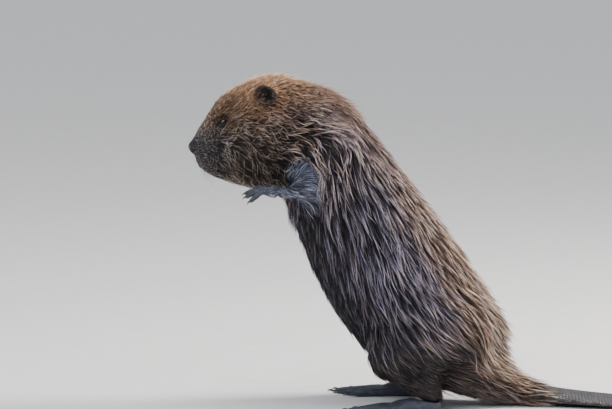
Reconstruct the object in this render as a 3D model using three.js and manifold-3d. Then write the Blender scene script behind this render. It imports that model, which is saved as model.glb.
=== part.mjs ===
// A young beaver standing upright, life size, as a still museum model.
//
// Millimetres, +Z up. The beaver faces -X, its left side faces -Y. It leans forward on its hind
// feet and tail, with its forepaws held out in front of its chest. The body is one smooth loft
// from nose to tail root, parted by thin cuts into head, neck, trunk and tail base. Limbs, ears,
// eyes, nose and claws are solids of their own that meet it with a thin gap. The solids reach out
// to the tips of the coat. At the end the model is centred over the origin, with its soles at z = 0.

import * as THREE from "three";
import { LoftGeometry } from "three/addons/geometries/LoftGeometry.js";
import { mergeVertices } from "three/addons/utils/BufferGeometryUtils.js";
import Module from "manifold-3d";

const wasm = await Module();
wasm.setup();

// ---------------------------------------------------------------- driving dimensions

const GAP = 0.35; // thin cut between neighbouring pieces
const BODY_SIDES = 22; // points round a body section
const LEFT = -1;
const RIGHT = 1;

// Body stations from nose to tail root. back and belly are [x, z] on the outline in side view,
// half is half the width, low is how far the widest level sinks below the middle, as a share.
const STATIONS = [
  { name: "nose tip", back: [-186, 314], belly: [-184, 302], half: 8, low: 0 },
  { name: "muzzle front", back: [-183, 323], belly: [-179, 291], half: 22, low: 0.1 },
  { name: "muzzle", back: [-176, 337], belly: [-173, 281], half: 30, low: 0.2 },
  { name: "bridge", back: [-168, 352], belly: [-162, 274], half: 36, low: 0.28 },
  { name: "eyes", back: [-152, 370], belly: [-146, 268], half: 43, low: 0.28 },
  { name: "brow", back: [-134, 384], belly: [-130, 263], half: 52, low: 0.22 },
  { name: "crown", back: [-112, 395], belly: [-114, 260], half: 58, low: 0.16 },
  { name: "ears", back: [-88, 399], belly: [-102, 259], half: 60, low: 0.1 },
  { name: "nape", back: [-60, 395], belly: [-91, 255], half: 58, low: 0.05 },
  { name: "neck", back: [-34, 389], belly: [-83, 247], half: 60, low: 0.05 },
  { name: "withers", back: [-6, 375], belly: [-78, 238], half: 66, low: 0.05 },
  { name: "shoulder", back: [20, 347], belly: [-74, 222], half: 72, low: 0.02 },
  { name: "chest", back: [46, 312], belly: [-65, 199], half: 77, low: 0 },
  { name: "ribs", back: [72, 278], belly: [-54, 172], half: 82, low: 0 },
  { name: "waist", back: [98, 244], belly: [-40, 142], half: 87, low: 0 },
  { name: "belly", back: [124, 208], belly: [-21, 109], half: 91, low: 0 },
  { name: "loin", back: [147, 174], belly: [3, 76], half: 92, low: 0 },
  { name: "hips", back: [167, 138], belly: [31, 48], half: 87, low: -0.04 },
  { name: "rump", back: [179, 102], belly: [64, 27], half: 72, low: -0.08 },
  { name: "seat", back: [183, 72], belly: [104, 15], half: 53, low: -0.08 },
  { name: "tail root", back: [190, 51], belly: [148, 6], half: 37, low: 0 },
  { name: "tail neck", back: [206, 33], belly: [206, 1], half: 28, low: 0 },
];
const station = (name) => STATIONS.findIndex((s) => s.name === name);

// Where the body is parted, in stations.
const HEAD_END = station("nape") - 0.35;
const NECK_END = station("shoulder") - 0.4;
const TRUNK_END = station("tail root") - 0.3;
const CUT = 0.035; // share of a station left open at each cut

// Eyes, ears and the line of the mouth sit at a station number and an angle above the widest level
// of its section. turn is how a piece turns round X, Y and Z on the right side.
const EYE = { at: 3.98, angle: 0.6, radius: 6.6, sink: 4.6 };
const LIDS = { half: [7.6, 3.2, 5.8], proud: 0.4, turn: [0.45, 0, -0.5] };
const EAR = { at: 6.45, angle: 0.72, half: [12, 7.5, 13.5], proud: 5, turn: [-0.5, -0.25, -0.45] };
const EAR_HOLLOW = { wall: 2.6, shift: [-2.5, 4.5, 1] };
const NOSE = { middle: [-184.5, 0, 311], half: [7, 12, 11] };
const NOSTRIL = { shift: [-4.6, 7, -1], half: [3.4, 2.8, 2.8] };
const MOUTH = [
  { at: 3.3, angle: -0.8 },
  { at: 2.2, angle: -0.92 },
  { at: 1.3, angle: -1.1 },
];
const MOUTH_HALF = 1.6; // half width of the groove between the lips

// Limb joints on the left side, as [x, z, distance from the middle plane], with half sizes
// [across, up] of the limb there. The next segment starts inside the last one, slimmer by NEXT.
const NEXT = 0.8;
const FORELEG = {
  shoulder: { at: [-16, 306, 44], half: [33, 38] },
  elbow: { at: [-47, 269, 64], half: [20, 21] },
  wrist: { at: [-82, 261, 61], half: [9.5, 8] },
};
const HINDLEG = {
  hip: { at: [112, 98, 50], half: [49, 56] },
  knee: { at: [46, 66, 70], half: [31, 37] },
  ankle: { at: [97, 25, 62], half: [14, 16] },
};

// Forepaw in its own frame: +x runs from wrist to fingertips, y to the outside, z up. The palm has
// half sizes [across, up] at wrist, middle and knuckles. A finger goes from one distance beside the
// middle line to another and drops at its tip, and arches by arch at its own middle.
const PALM = { length: 19, halves: [[8, 6.2], [11.5, 5.2], [11.5, 4.2]], root: 5 };
const FINGER = { halves: [[3.3, 3.3], [2.8, 3], [2.5, 2.4]], arch: 1.5 };
const FINGERS = [
  { from: -8, to: -15, length: 13, drop: 4 },
  { from: -5, to: -9, length: 21, drop: 4 },
  { from: 0, to: -1, length: 24, drop: 4 },
  { from: 5, to: 7, length: 22, drop: 5 },
  { from: 9, to: 15, length: 16, drop: 6 },
];
const FORECLAW = { length: 10, half: 2.1, hook: 0.25 };

// Hind foot in its own frame: +x runs from heel to toes along the floor. The sole has half sizes
// at heel, instep and ball, and stands line above the floor. Webs reach a share of each toe.
const SOLE = { length: 44, halves: [[11.5, 11.5], [13.6, 10], [16, 9]], line: [10, 9, 7] };
const TOE = { halves: [[4.6, 4.6], [4.6, 4.1], [3.4, 3.2]], line: [7.6, 6.6, 3.2], root: 8 };
const WEB = { thick: 2.6, reach: 0.93, dip: 0.9, start: 10 };
const TOES = [
  { from: -11, to: -27, length: 84 },
  { from: -6, to: -15, length: 99 },
  { from: 0, to: 0, length: 110 },
  { from: 6, to: 15, length: 108 },
  { from: 11, to: 29, length: 92 },
];
const HINDCLAW = { length: 13, half: 2.7, hook: 0.1 };

// Tail: a scaly paddle that lies on the floor and bends a little to the left.
const TAIL = { length: 182, half: 43, tip: 3, bend: -26, widest: 0.7, round: 0.55, sides: 14 };

// ---------------------------------------------------------------- finishes

const finish = (color, roughness) => new THREE.MeshStandardMaterial({ color, roughness, metalness: 0 });
const FINISH = {
  headCoat: finish(0x7a5134, 0.75),
  coat: finish(0x4a382d, 0.7),
  limbCoat: finish(0x3b3230, 0.75),
  bareSkin: finish(0x3f3a3f, 0.55),
  scales: finish(0x35312f, 0.5),
  nosePad: finish(0x2a2628, 0.4),
  eyeball: finish(0x0b0908, 0.08),
  claw: finish(0x4b4038, 0.4),
};

// ---------------------------------------------------------------- shapes and solids

const vec = (x, y, z) => new THREE.Vector3(x, y, z);

// A closed solid from a geometry, and a geometry from a solid.
function solidOf(geometry) {
  const bare = new THREE.BufferGeometry().setIndex(geometry.index);
  bare.setAttribute("position", geometry.getAttribute("position"));
  const merged = mergeVertices(bare, 1e-4);
  const mesh = new wasm.Mesh({
    numProp: 3,
    vertProperties: new Float32Array(merged.attributes.position.array),
    triVerts: new Uint32Array(merged.index.array),
  });
  return new wasm.Manifold(mesh);
}

function geometryOf(solid) {
  const mesh = solid.getMesh();
  const geometry = new THREE.BufferGeometry();
  geometry.setAttribute("position", new THREE.BufferAttribute(mesh.vertProperties, mesh.numProp));
  geometry.setIndex(new THREE.BufferAttribute(mesh.triVerts, 1));
  geometry.computeVertexNormals();
  return geometry;
}

// The main body of a solid that a cut has left in several.
function largest(solid) {
  const bodies = solid.decompose();
  return bodies.reduce((a, b) => (b.volume() > a.volume() ? b : a));
}

const joined = (solids) => solids.reduce((a, b) => a.add(b));
const cutBy = (solid, ...others) => largest(others.reduce((a, b) => a.subtract(b), solid));

// An ellipsoid of half sizes size, turned by a rotation and moved to middle.
function ellipsoid(middle, size, turn = new THREE.Euler(), detail = [11, 7]) {
  const geometry = new THREE.SphereGeometry(1, ...detail);
  const place = new THREE.Matrix4().compose(
    middle,
    new THREE.Quaternion().setFromEuler(turn),
    vec(...size),
  );
  return solidOf(geometry.applyMatrix4(place));
}

// A limb along a smooth line through points, with an oval section of half sizes [across, up] at
// each of them and rounded ends, or a flat start or end where rounded says so.
const ROUNDING = [0.41, 0.97]; // angles of the rings that round off an end, in radians
const LIMB = { sides: 10, steps: 2, grow: 0, across: vec(0, 1, 0), rounded: [true, true] };
function limb(points, halves, options = {}) {
  const { sides, steps, grow, across, rounded } = { ...LIMB, ...options };
  const line = new THREE.CatmullRomCurve3(points);
  const girth = new THREE.CatmullRomCurve3(halves.map(([a, b]) => vec(a + grow, b + grow, 0)));
  const sections = [];
  const ring = (u, shift, scale) => {
    const along = line.getTangent(u);
    const side = across.clone().addScaledVector(along, -along.dot(across)).normalize();
    const up = along.clone().cross(side);
    const size = girth.getPoint(u);
    const middle = line.getPoint(u).addScaledVector(along, (shift * (size.x + size.y)) / 2);
    const points = [];
    for (let i = 0; i < sides; i++) {
      const angle = (2 * Math.PI * i) / sides;
      const point = middle.clone().addScaledVector(side, size.x * scale * Math.cos(angle));
      points.push(point.addScaledVector(up, size.y * scale * Math.sin(angle)));
    }
    sections.push(points);
  };
  if (rounded[0]) ROUNDING.forEach((r) => ring(0, -Math.cos(r), Math.sin(r)));
  const count = steps * (points.length - 1);
  for (let i = 0; i <= count; i++) ring(i / count, 0, 1);
  if (rounded[1]) ROUNDING.toReversed().forEach((r) => ring(1, Math.cos(r), Math.sin(r)));
  return solidOf(new LoftGeometry(sections, { capStart: true, capEnd: true }));
}

// ---------------------------------------------------------------- body

const flat = ([x, z]) => vec(x, 0, z);
const backLine = new THREE.CatmullRomCurve3(STATIONS.map((s) => flat(s.back)));
const bellyLine = new THREE.CatmullRomCurve3(STATIONS.map((s) => flat(s.belly)));
const girthLine = new THREE.CatmullRomCurve3(STATIONS.map((s) => vec(s.half, s.low, 0)));

// The body's section at a station number, which need not be whole.
function bodySection(at, grow) {
  const u = at / (STATIONS.length - 1);
  const back = backLine.getPoint(u);
  const belly = bellyLine.getPoint(u);
  const { x: half, y: low } = girthLine.getPoint(u);
  const middle = back.clone().add(belly).divideScalar(2);
  const up = back.clone().sub(middle);
  up.setLength(up.length() + grow);
  const points = [];
  for (let i = 0; i < BODY_SIDES; i++) {
    const angle = (2 * Math.PI * i) / BODY_SIDES;
    const point = middle.clone().addScaledVector(up, Math.sin(angle));
    point.y = (half + grow) * Math.cos(angle) * (1 - low * Math.sin(angle));
    points.push(point);
  }
  return points;
}

const LAST = STATIONS.length - 1;
const spread = (from, to, steps) =>
  Array.from({ length: steps + 1 }, (_, i) => from + ((to - from) * i) / steps);
const HEAD_AT = spread(0, HEAD_END, 11);
const NECK_AT = spread(HEAD_END + CUT, NECK_END, 4);
const TRUNK_AT = spread(NECK_END + CUT, TRUNK_END, 12);
const BASE_AT = spread(TRUNK_END + CUT, LAST, 3);

function bodyLength(numbers, grow = 0) {
  const sections = numbers.map((at) => bodySection(at, grow));
  return solidOf(new LoftGeometry(sections, { capStart: true, capEnd: true }));
}

// The whole body a gap larger, which cuts whatever meets it.
const bodyGrown = bodyLength([...HEAD_AT, ...NECK_AT, ...TRUNK_AT, ...BASE_AT], GAP);

// A point of the body's surface on one side, pushed out along its outward direction.
function onBody({ at, angle }, side, out) {
  const u = at / LAST;
  const { x: half, y: low } = girthLine.getPoint(u);
  const back = backLine.getPoint(u);
  const middle = back.clone().add(bellyLine.getPoint(u)).divideScalar(2);
  const up = back.clone().sub(middle);
  const point = middle.addScaledVector(up, Math.sin(angle));
  point.y = side * half * Math.cos(angle) * (1 - low * Math.sin(angle));
  const outward = up.normalize().multiplyScalar(Math.sin(angle)).setY(side * Math.cos(angle));
  return point.addScaledVector(outward.normalize(), out);
}

// ---------------------------------------------------------------- head details

function eyeball(side, grow = 0) {
  const r = EYE.radius + grow;
  return ellipsoid(onBody(EYE, side, -EYE.sink), [r, r, r]);
}

// The turn and the shift of a piece of the right side, mirrored for the left.
const turned = ([x, y, z], side) => new THREE.Euler(side * x, y, side * z, "ZXY");
const shifted = ([x, y, z], side) => vec(x, side * y, z);

// The opening between the lids, a shallow dish in front of the eyeball.
function eyeOpening(side) {
  return ellipsoid(onBody(EYE, side, LIDS.proud), LIDS.half, turned(LIDS.turn, side), [8, 6]);
}

// An ear is a round shell that opens forward and outward.
function ear(side) {
  const turn = turned(EAR.turn, side);
  const middle = onBody(EAR, side, EAR.proud);
  const front = middle.clone().add(shifted(EAR_HOLLOW.shift, side));
  const hollow = EAR.half.map((h) => h - EAR_HOLLOW.wall);
  return cutBy(ellipsoid(middle, EAR.half, turn), ellipsoid(front, hollow, turn, [10, 6]), bodyGrown);
}

function nosePad() {
  const middle = vec(...NOSE.middle);
  const nostrils = [LEFT, RIGHT].map((side) => {
    const place = middle.clone().add(shifted(NOSTRIL.shift, side));
    return ellipsoid(place, NOSTRIL.half, undefined, [6, 4]);
  });
  return cutBy(ellipsoid(middle, NOSE.half, undefined, [12, 6]), ...nostrils, bodyGrown);
}

// The line of the closed mouth, cut as a shallow groove from cheek to cheek.
function mouthGroove() {
  const half = (side) => MOUTH.map((place) => onBody(place, side, 0));
  const points = [...half(LEFT), ...half(RIGHT).toReversed()];
  const halves = points.map(() => [MOUTH_HALF, MOUTH_HALF]);
  return limb(points, halves, { sides: 3, steps: 1, across: vec(0, 0, 1) });
}

// ---------------------------------------------------------------- limbs

const joint = ({ at: [x, z, out] }, side) => vec(x, side * out, z);

// A limb segment between two joints, whose start is slimmer than its joint by a share.
function segment(from, to, side, share, options) {
  const a = joint(from, side);
  const b = joint(to, side);
  const start = from.half.map((h) => h * share);
  const half = start.map((h, i) => (h + to.half[i]) / 2);
  return limb([a, a.clone().lerp(b, 0.5), b], [start, half, to.half], options);
}

const { shoulder, elbow, wrist } = FORELEG;
const { hip, knee, ankle } = HINDLEG;
const upperArm = (side, grow = 0) => segment(shoulder, elbow, side, 1, { sides: 11, grow });
const forearm = (side, grow = 0) => segment(elbow, wrist, side, NEXT, { grow });
const thigh = (side, grow = 0) => segment(hip, knee, side, 1, { sides: 12, grow });
const shank = (side, grow = 0) => segment(knee, ankle, side, NEXT, { grow });

// Places a solid made in a paw's own frame: its x axis points forward, turned outward by yaw and
// tipped by pitch, and its y axis points to the outside.
function placement(origin, side, yaw, pitch, roll = 0) {
  const ahead = vec(-Math.cos(yaw) * Math.cos(pitch), side * Math.sin(yaw), Math.sin(pitch));
  const forward = ahead.normalize();
  const outside = vec(0, side, 0).addScaledVector(forward, -side * forward.y).normalize();
  outside.applyAxisAngle(forward, side * roll);
  const up = forward.clone().cross(outside).multiplyScalar(-side);
  return new THREE.Matrix4().makeBasis(forward, outside, up).setPosition(origin);
}

const placed = (solid, matrix) => solid.transform(matrix.elements);

function fingerLine({ from, to, length, drop }) {
  const start = PALM.length - PALM.root;
  const knuckle = vec(start + length / 2, (from + to) / 2, FINGER.arch);
  return [vec(start, from, 0), knuckle, vec(start + length, to, -drop)];
}

function forepaw(grow = 0) {
  const palmLine = [2, PALM.length / 2, PALM.length - 3].map((x) => vec(x, 0, 0));
  const palm = limb(palmLine, PALM.halves, { sides: 8, steps: 1, grow });
  const options = { sides: 5, steps: 1, grow, rounded: [false, true] };
  const fingers = FINGERS.map((f) => limb(fingerLine(f), FINGER.halves, options));
  return joined([palm, ...fingers]);
}

// A claw that leaves its digit along a direction and curves down to a point.
function claw(tip, direction, { length, half, hook }) {
  const down = vec(0, 0, -hook * length);
  const start = tip.clone().addScaledVector(direction, -length * 0.15);
  const middle = tip.clone().addScaledVector(direction, length * 0.55).addScaledVector(down, 0.35);
  const end = tip.clone().addScaledVector(direction, length).add(down);
  const halves = [1, 0.78, 0.2].map((share) => [half * share, half * share]);
  return limb([start, middle, end], halves, { sides: 5, steps: 1, rounded: [false, false] });
}

function toeLine({ from, to, length }) {
  const start = SOLE.length - TOE.root;
  const bend = 0.55; // how far along the toe its middle joint is
  const x = [start, start + (length - start) * bend, length];
  const y = [from, from + (to - from) * bend, to];
  return TOE.line.map((z, i) => vec(x[i], y[i], z));
}

// The webs join the toes as one thin plate, scalloped between their tips.
function webs(grow) {
  const start = SOLE.length - WEB.start;
  const tips = TOES.map(({ to, length }) => ({
    x: length * WEB.reach + grow,
    y: to * WEB.reach + Math.sign(to) * grow,
  }));
  const outline = new THREE.Shape();
  outline.moveTo(start, -WEB.start - grow);
  outline.lineTo(tips[0].x, tips[0].y);
  tips.slice(1).forEach(({ x, y }, i) => {
    const last = tips[i];
    outline.quadraticCurveTo(((last.x + x) / 2) * WEB.dip, (last.y + y) / 2, x, y);
  });
  outline.lineTo(start, WEB.start + grow);
  const options = { depth: WEB.thick + grow, bevelEnabled: false, curveSegments: 2 };
  return solidOf(new THREE.ExtrudeGeometry(outline, options));
}

const FLOOR_CUT = solidOf(new THREE.BoxGeometry(2000, 2000, 200).translate(0, 0, -100));

function hindfoot(grow = 0) {
  const soleLine = [2, SOLE.length * 0.55, SOLE.length].map((x, i) => vec(x, 0, SOLE.line[i]));
  const sole = limb(soleLine, SOLE.halves, { sides: 9, steps: 1, grow });
  const options = { sides: 6, steps: 1, grow, rounded: [false, true] };
  const toes = TOES.map((t) => limb(toeLine(t), TOE.halves, options));
  return joined([sole, ...toes, webs(grow)]);
}

// ---------------------------------------------------------------- tail

// The paddle goes on from the tail base's last section, for u from 0 there to 1 at the tip. Its
// half width swells to the widest place and rounds off towards the tip.
const NECK = STATIONS[LAST];
const NECK_THICK = (NECK.back[1] - NECK.belly[1]) / 2;

function paddleHalf(u) {
  const swell = Math.sin((Math.PI / 2) * Math.min(1, u / TAIL.widest)) ** 1.6;
  const past = Math.max(0, u - TAIL.round) / (1 - TAIL.round);
  const rounding = Math.sqrt(Math.max(0.015, 1 - past ** 2.6));
  return (NECK.half + (TAIL.half - NECK.half) * swell) * rounding;
}

function paddleSection(u) {
  const thick = THREE.MathUtils.lerp(NECK_THICK, TAIL.tip, u ** 0.5);
  const yaw = (2 * TAIL.bend * u) / TAIL.length;
  const across = vec(-Math.sin(yaw), Math.cos(yaw), 0);
  const middle = vec(NECK.back[0] + GAP + TAIL.length * u, TAIL.bend * u * u, thick + 1 - 2 * u);
  const flattened = 0.5 * Math.min(1, 3 * u); // the section turns from an oval into a lens
  return Array.from({ length: TAIL.sides }, (_, i) => {
    const angle = (2 * Math.PI * i) / TAIL.sides;
    const out = Math.cos(angle);
    const high = thick * (1 - flattened * out * out) * Math.sin(angle);
    return middle.clone().addScaledVector(across, paddleHalf(u) * out).add(vec(0, 0, high));
  });
}

function paddle() {
  const sections = spread(0, 1, 12).map(paddleSection);
  return solidOf(new LoftGeometry(sections, { capStart: true, capEnd: true })).subtract(FLOOR_CUT);
}

// ---------------------------------------------------------------- assembly

const root = new THREE.Group();

function add(name, solid, material) {
  const mesh = new THREE.Mesh(geometryOf(largest(solid)), material);
  mesh.name = name;
  root.add(mesh);
}

function addBody() {
  const eyes = [LEFT, RIGHT].flatMap((side) => [eyeball(side, GAP), eyeOpening(side)]);
  add("head", cutBy(bodyLength(HEAD_AT), ...eyes, mouthGroove()), FINISH.headCoat);
  add("neck", bodyLength(NECK_AT), FINISH.coat);
  add("trunk", bodyLength(TRUNK_AT), FINISH.coat);
  add("tail_base", bodyLength(BASE_AT).subtract(FLOOR_CUT), FINISH.coat);
  add("tail_paddle", paddle(), FINISH.scales);
  add("nose", nosePad(), FINISH.nosePad);
}

function addForeleg(side, word, turn) {
  const arm = cutBy(upperArm(side), bodyGrown);
  add(`upper_arm_${word}`, arm, FINISH.limbCoat);
  add(`forearm_${word}`, cutBy(forearm(side), upperArm(side, GAP), bodyGrown), FINISH.limbCoat);
  const place = placement(joint(wrist, side), side, turn.yaw, turn.pitch, turn.roll);
  const paw = placed(forepaw(), place);
  add(`forepaw_${word}`, cutBy(paw, forearm(side, GAP), bodyGrown), FINISH.bareSkin);
  const grown = placed(forepaw(GAP), place);
  FINGERS.forEach((finger, i) => {
    const line = fingerLine(finger);
    const direction = line[2].clone().sub(line[1]).normalize();
    const nail = placed(claw(line[2], direction, FORECLAW), place);
    add(`foreclaw_${word}_${i + 1}`, cutBy(nail, grown), FINISH.claw);
  });
}

function addHindleg(side, word, { step, yaw }) {
  add(`thigh_${word}`, cutBy(thigh(side), bodyGrown), FINISH.coat);
  add(`shank_${word}`, cutBy(shank(side), thigh(side, GAP), bodyGrown, FLOOR_CUT), FINISH.limbCoat);
  const heel = joint(ankle, side).add(vec(4 - step, 0, 0)).setZ(0);
  const place = placement(heel, side, yaw, 0);
  const foot = placed(hindfoot(), place);
  add(`hindfoot_${word}`, cutBy(foot, shank(side, GAP), bodyGrown, FLOOR_CUT), FINISH.bareSkin);
  const grown = placed(hindfoot(GAP), place);
  TOES.forEach((toe, i) => {
    const line = toeLine(toe);
    const direction = line[2].clone().sub(line[1]).setZ(0).normalize();
    const nail = placed(claw(line[2], direction, HINDCLAW), place);
    add(`hindclaw_${word}_${i + 1}`, cutBy(nail, grown, FLOOR_CUT), FINISH.claw);
  });
}

addBody();
for (const [side, word] of [[LEFT, "left"], [RIGHT, "right"]]) {
  add(`eye_${word}`, eyeball(side), FINISH.eyeball);
  add(`ear_${word}`, ear(side), FINISH.limbCoat);
}
addForeleg(LEFT, "left", { yaw: -0.12, pitch: 0.14, roll: 0.2 });
addForeleg(RIGHT, "right", { yaw: -0.02, pitch: 0.2, roll: 0.12 });
addHindleg(LEFT, "left", { step: 0, yaw: 0.16 });
addHindleg(RIGHT, "right", { step: 9, yaw: 0.24 });

const box = new THREE.Box3().setFromObject(root);
const centre = box.getCenter(vec(0, 0, 0));
root.position.set(-centre.x, -centre.y, -box.min.z);

export default root;
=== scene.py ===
"""Skin, coat, eyes, claws, ears, whiskers and tail scales of a young beaver, built on its CAD solids.

Everything is in metres in the CAD's frame: +Z up, the beaver faces -X and its left side is -Y.
The skin lies inside the CAD solids by the coat's depth, and the coat fills the room up to them.
"""

import math

import bmesh
import bpy
import numpy as np
from mathutils import Matrix, Vector
from mathutils.bvhtree import BVHTree
from mathutils.kdtree import KDTree


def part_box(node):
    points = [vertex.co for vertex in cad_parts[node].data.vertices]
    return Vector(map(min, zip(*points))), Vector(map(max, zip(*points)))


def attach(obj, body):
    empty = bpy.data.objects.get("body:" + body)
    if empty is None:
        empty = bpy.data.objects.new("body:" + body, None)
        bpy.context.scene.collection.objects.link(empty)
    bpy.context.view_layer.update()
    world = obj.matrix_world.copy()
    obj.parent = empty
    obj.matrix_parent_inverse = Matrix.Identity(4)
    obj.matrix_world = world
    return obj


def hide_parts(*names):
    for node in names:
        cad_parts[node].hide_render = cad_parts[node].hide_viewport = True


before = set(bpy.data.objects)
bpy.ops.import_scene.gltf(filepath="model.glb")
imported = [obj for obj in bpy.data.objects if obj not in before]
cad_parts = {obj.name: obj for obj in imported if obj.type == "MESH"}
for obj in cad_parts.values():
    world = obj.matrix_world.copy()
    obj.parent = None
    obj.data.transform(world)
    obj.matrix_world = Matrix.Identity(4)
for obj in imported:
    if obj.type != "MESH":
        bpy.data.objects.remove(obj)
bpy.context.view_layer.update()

MM = 0.001
SIDES = {"left": -1, "right": 1}
RNG = np.random.default_rng(20)


def mm(*values):
    """A place or size given in millimetres."""
    return np.array(values) * MM


# ---- the CAD frame


def pair(node):
    return [f"{node}_{word}" for word in SIDES]


# The solids that the one skin replaces.
GROUPS = {
    "head": ["head", "nose"], "neck": ["neck"], "trunk": ["trunk"], "haunch": pair("thigh"),
    "shank": pair("shank"), "upper_arm": pair("upper_arm"), "forearm": pair("forearm"),
    "forepaw": pair("forepaw"), "hindfoot": pair("hindfoot"), "tail_base": ["tail_base"],
    "tail": ["tail_paddle"],
}
GROUP_NAMES = list(GROUPS)
FLESH = [name for nodes in GROUPS.values() for name in nodes]
CLAWS = [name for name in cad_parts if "claw" in name]


def box(node):
    """The lowest and highest corner of a solid."""
    return np.array(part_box(node))


def centre(node):
    return box(node).sum(axis=0) / 2


NOSE_TIP = np.array([box("nose")[0][0], *centre("nose")[1:]])
MID_Y = NOSE_TIP[1]
EYES = {side: centre(f"eye_{word}") + mm(0, 0, -3.6) for word, side in SIDES.items()}
EARS = {side: centre(f"ear_{word}") + mm(1.0, 0, -2.2) for word, side in SIDES.items()}
EYE_RADIUS = np.ptp(box("eye_left")[:, 0]) / 2

# ---- small maths


def smoothstep(low, high, x):
    t = np.clip((x - low) / (high - low), 0, 1)
    return t * t * (3 - 2 * t)


def unit(v):
    return v / np.maximum(np.linalg.norm(v, axis=-1, keepdims=True), 1e-12)


def upward(v):
    return v if v[2] > 0 else -v


def along_surface(direction, normal):
    """The direction laid flat in the surface with that normal."""
    return unit(direction - normal * np.sum(direction * normal, axis=-1, keepdims=True))


def turned(direction, normal, angle):
    """The direction turned about the normal."""
    side = np.cross(normal, direction)
    return direction * np.cos(angle)[:, None] + side * np.sin(angle)[:, None]


def axes_round(way):
    """Two unit vectors square to a way, the first of them level."""
    first = unit(np.cross(way, [0, 0, 1.0]))
    return first, np.cross(way, first)


def noise(points, size, seed):
    """Smooth noise from -1 to 1 that changes over about size metres."""
    cell = points / size
    base = np.floor(cell).astype(np.int64)
    share = cell - base
    share = share * share * (3 - 2 * share)
    total = np.zeros(len(points))
    for corner in np.ndindex(2, 2, 2):
        at = base + corner
        mixed = at[:, 0] * 73856093 ^ at[:, 1] * 19349663 ^ at[:, 2] * 83492791 ^ seed * 2654435761
        mixed = (mixed ^ (mixed >> 13)) * 1274126177
        value = ((mixed ^ (mixed >> 16)) & 0xFFFF) / 32767.5 - 1
        total += value * np.prod(np.where(corner, share, 1 - share), axis=1)
    return total


def bump(points, place, radius):
    """1 at a place, falling to 0 at about twice the radius."""
    return np.exp(-np.sum((points - place) ** 2, axis=1) / (radius * radius))


def band(x, middle, half):
    """1 where x has its middle value, falling to 0 on both sides."""
    return np.exp(-(((x - middle) / half) ** 2))


def swollen(points, base, *swellings):
    """Rise of swellings, given as (mm from the base, reach in mm, rise in mm)."""
    return sum(bump(points, base + mm(*at), reach * MM) * rise * MM for at, reach, rise in swellings)


def faded(points, places, share, reach, shift=(0, 0, 0)):
    """1, less a share of it near the places, which are shifted by some mm and reach some mm."""
    return np.prod([1 - share * bump(points, p + mm(*shift), reach * MM) for p in places.values()], axis=0)


def shares_to(rings):
    """The share of the way at which each ring lies, from 0 to 1."""
    return np.arange(rings + 1) / rings


def gap_to(points, places):
    """Distance to the nearest of the places."""
    return np.min([np.linalg.norm(points - place, axis=1) for place in places], axis=0)


# ---- meshes as arrays


def read(items, key, width, kind=float):
    """One property of all the items of a mesh, as rows."""
    values = np.zeros(len(items) * width, kind)
    items.foreach_get(key, values)
    return values.reshape(-1, width)


def nearest_on(tree, points):
    """The nearest places on a tree's mesh, and the triangles they are in."""
    found = [tree.find_nearest(p) for p in points.tolist()]
    return np.array([f[0] for f in found]), np.array([f[2] for f in found])


class Surface:
    """A mesh as arrays of corners, triangles and edges."""

    def __init__(self, mesh):
        mesh.calc_loop_triangles()
        self.co = read(mesh.vertices, "co", 3)
        self.tris = read(mesh.loop_triangles, "vertices", 3, np.int32)
        self.edges = read(mesh.edges, "vertices", 2, np.int32)
        self.degree = np.bincount(self.edges.ravel(), minlength=len(self.co)).astype(float)

    def normals(self):
        """Smooth normals of the corners."""
        a, b, c = (self.co[self.tris[:, i]] for i in range(3))
        face = np.cross(b - a, c - a)
        total = np.zeros_like(self.co)
        for i in range(3):
            for axis in range(3):
                total[:, axis] += np.bincount(self.tris[:, i], face[:, axis], len(self.co))
        return unit(total)

    def spread(self, values, rounds, strength=1.0):
        """The values averaged with their neighbours' over a number of rounds."""
        flat = values.reshape(len(values), -1).copy()
        a, b = self.edges.T
        for _ in range(rounds):
            for column in range(flat.shape[1]):
                v = flat[:, column]
                total = np.bincount(a, v[b], len(v)) + np.bincount(b, v[a], len(v))
                flat[:, column] += (total / self.degree - v) * strength
        return flat.reshape(values.shape)

    def settled(self):
        """The surface, ready to be asked for the nearest place on it, once its shape is final."""
        self.normal = self.normals()
        self.tree = BVHTree.FromPolygons(self.co.tolist(), self.tris.tolist())
        return self

    def nearest(self, points):
        """The nearest places on the surface, its normals there and the triangles they are in."""
        places, faces = nearest_on(self.tree, points)
        return places, unit(self.normal[self.tris[faces]].sum(axis=1)), faces


def new_object(name, data, material=None):
    obj = bpy.data.objects.new(name, data)
    bpy.context.scene.collection.objects.link(obj)
    if material:
        data.materials.append(material)
    return obj


def modified(mesh, kind, **settings):
    """The mesh with one modifier applied."""
    obj = new_object("work", mesh)
    modifier = obj.modifiers.new("work", kind)
    for key, value in settings.items():
        setattr(modifier, key, value)
    result = bpy.data.meshes.new_from_object(obj.evaluated_get(bpy.context.evaluated_depsgraph_get()))
    bpy.data.objects.remove(obj)
    return result


def add_piece(name, mesh, material, slot, *replaced):
    """A finished piece of the model, which rides on the one body."""
    obj = new_object(name, mesh, material)
    if replaced:
        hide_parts(*replaced)
    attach(obj, "root")
    print(name, len(mesh.polygons), "faces")


def mesh_of(name, co, faces, smooth=True):
    """A mesh from arrays, whose faces all have the same number of corners."""
    mesh = bpy.data.meshes.new(name)
    faces = np.asarray(faces, np.int32)
    count, corners = faces.shape
    mesh.vertices.add(len(co))
    mesh.vertices.foreach_set("co", np.asarray(co, np.float32).ravel())
    mesh.loops.add(count * corners)
    mesh.loops.foreach_set("vertex_index", faces.ravel())
    mesh.polygons.add(count)
    mesh.polygons.foreach_set("loop_start", np.arange(count, dtype=np.int32) * corners)
    mesh.polygons.foreach_set("use_smooth", np.full(count, smooth))
    mesh.update(calc_edges=True)
    return mesh


def written(bm, mesh):
    """The mesh with the shape of the edit mesh, which is freed."""
    bm.to_mesh(mesh)
    bm.free()
    return mesh


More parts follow.
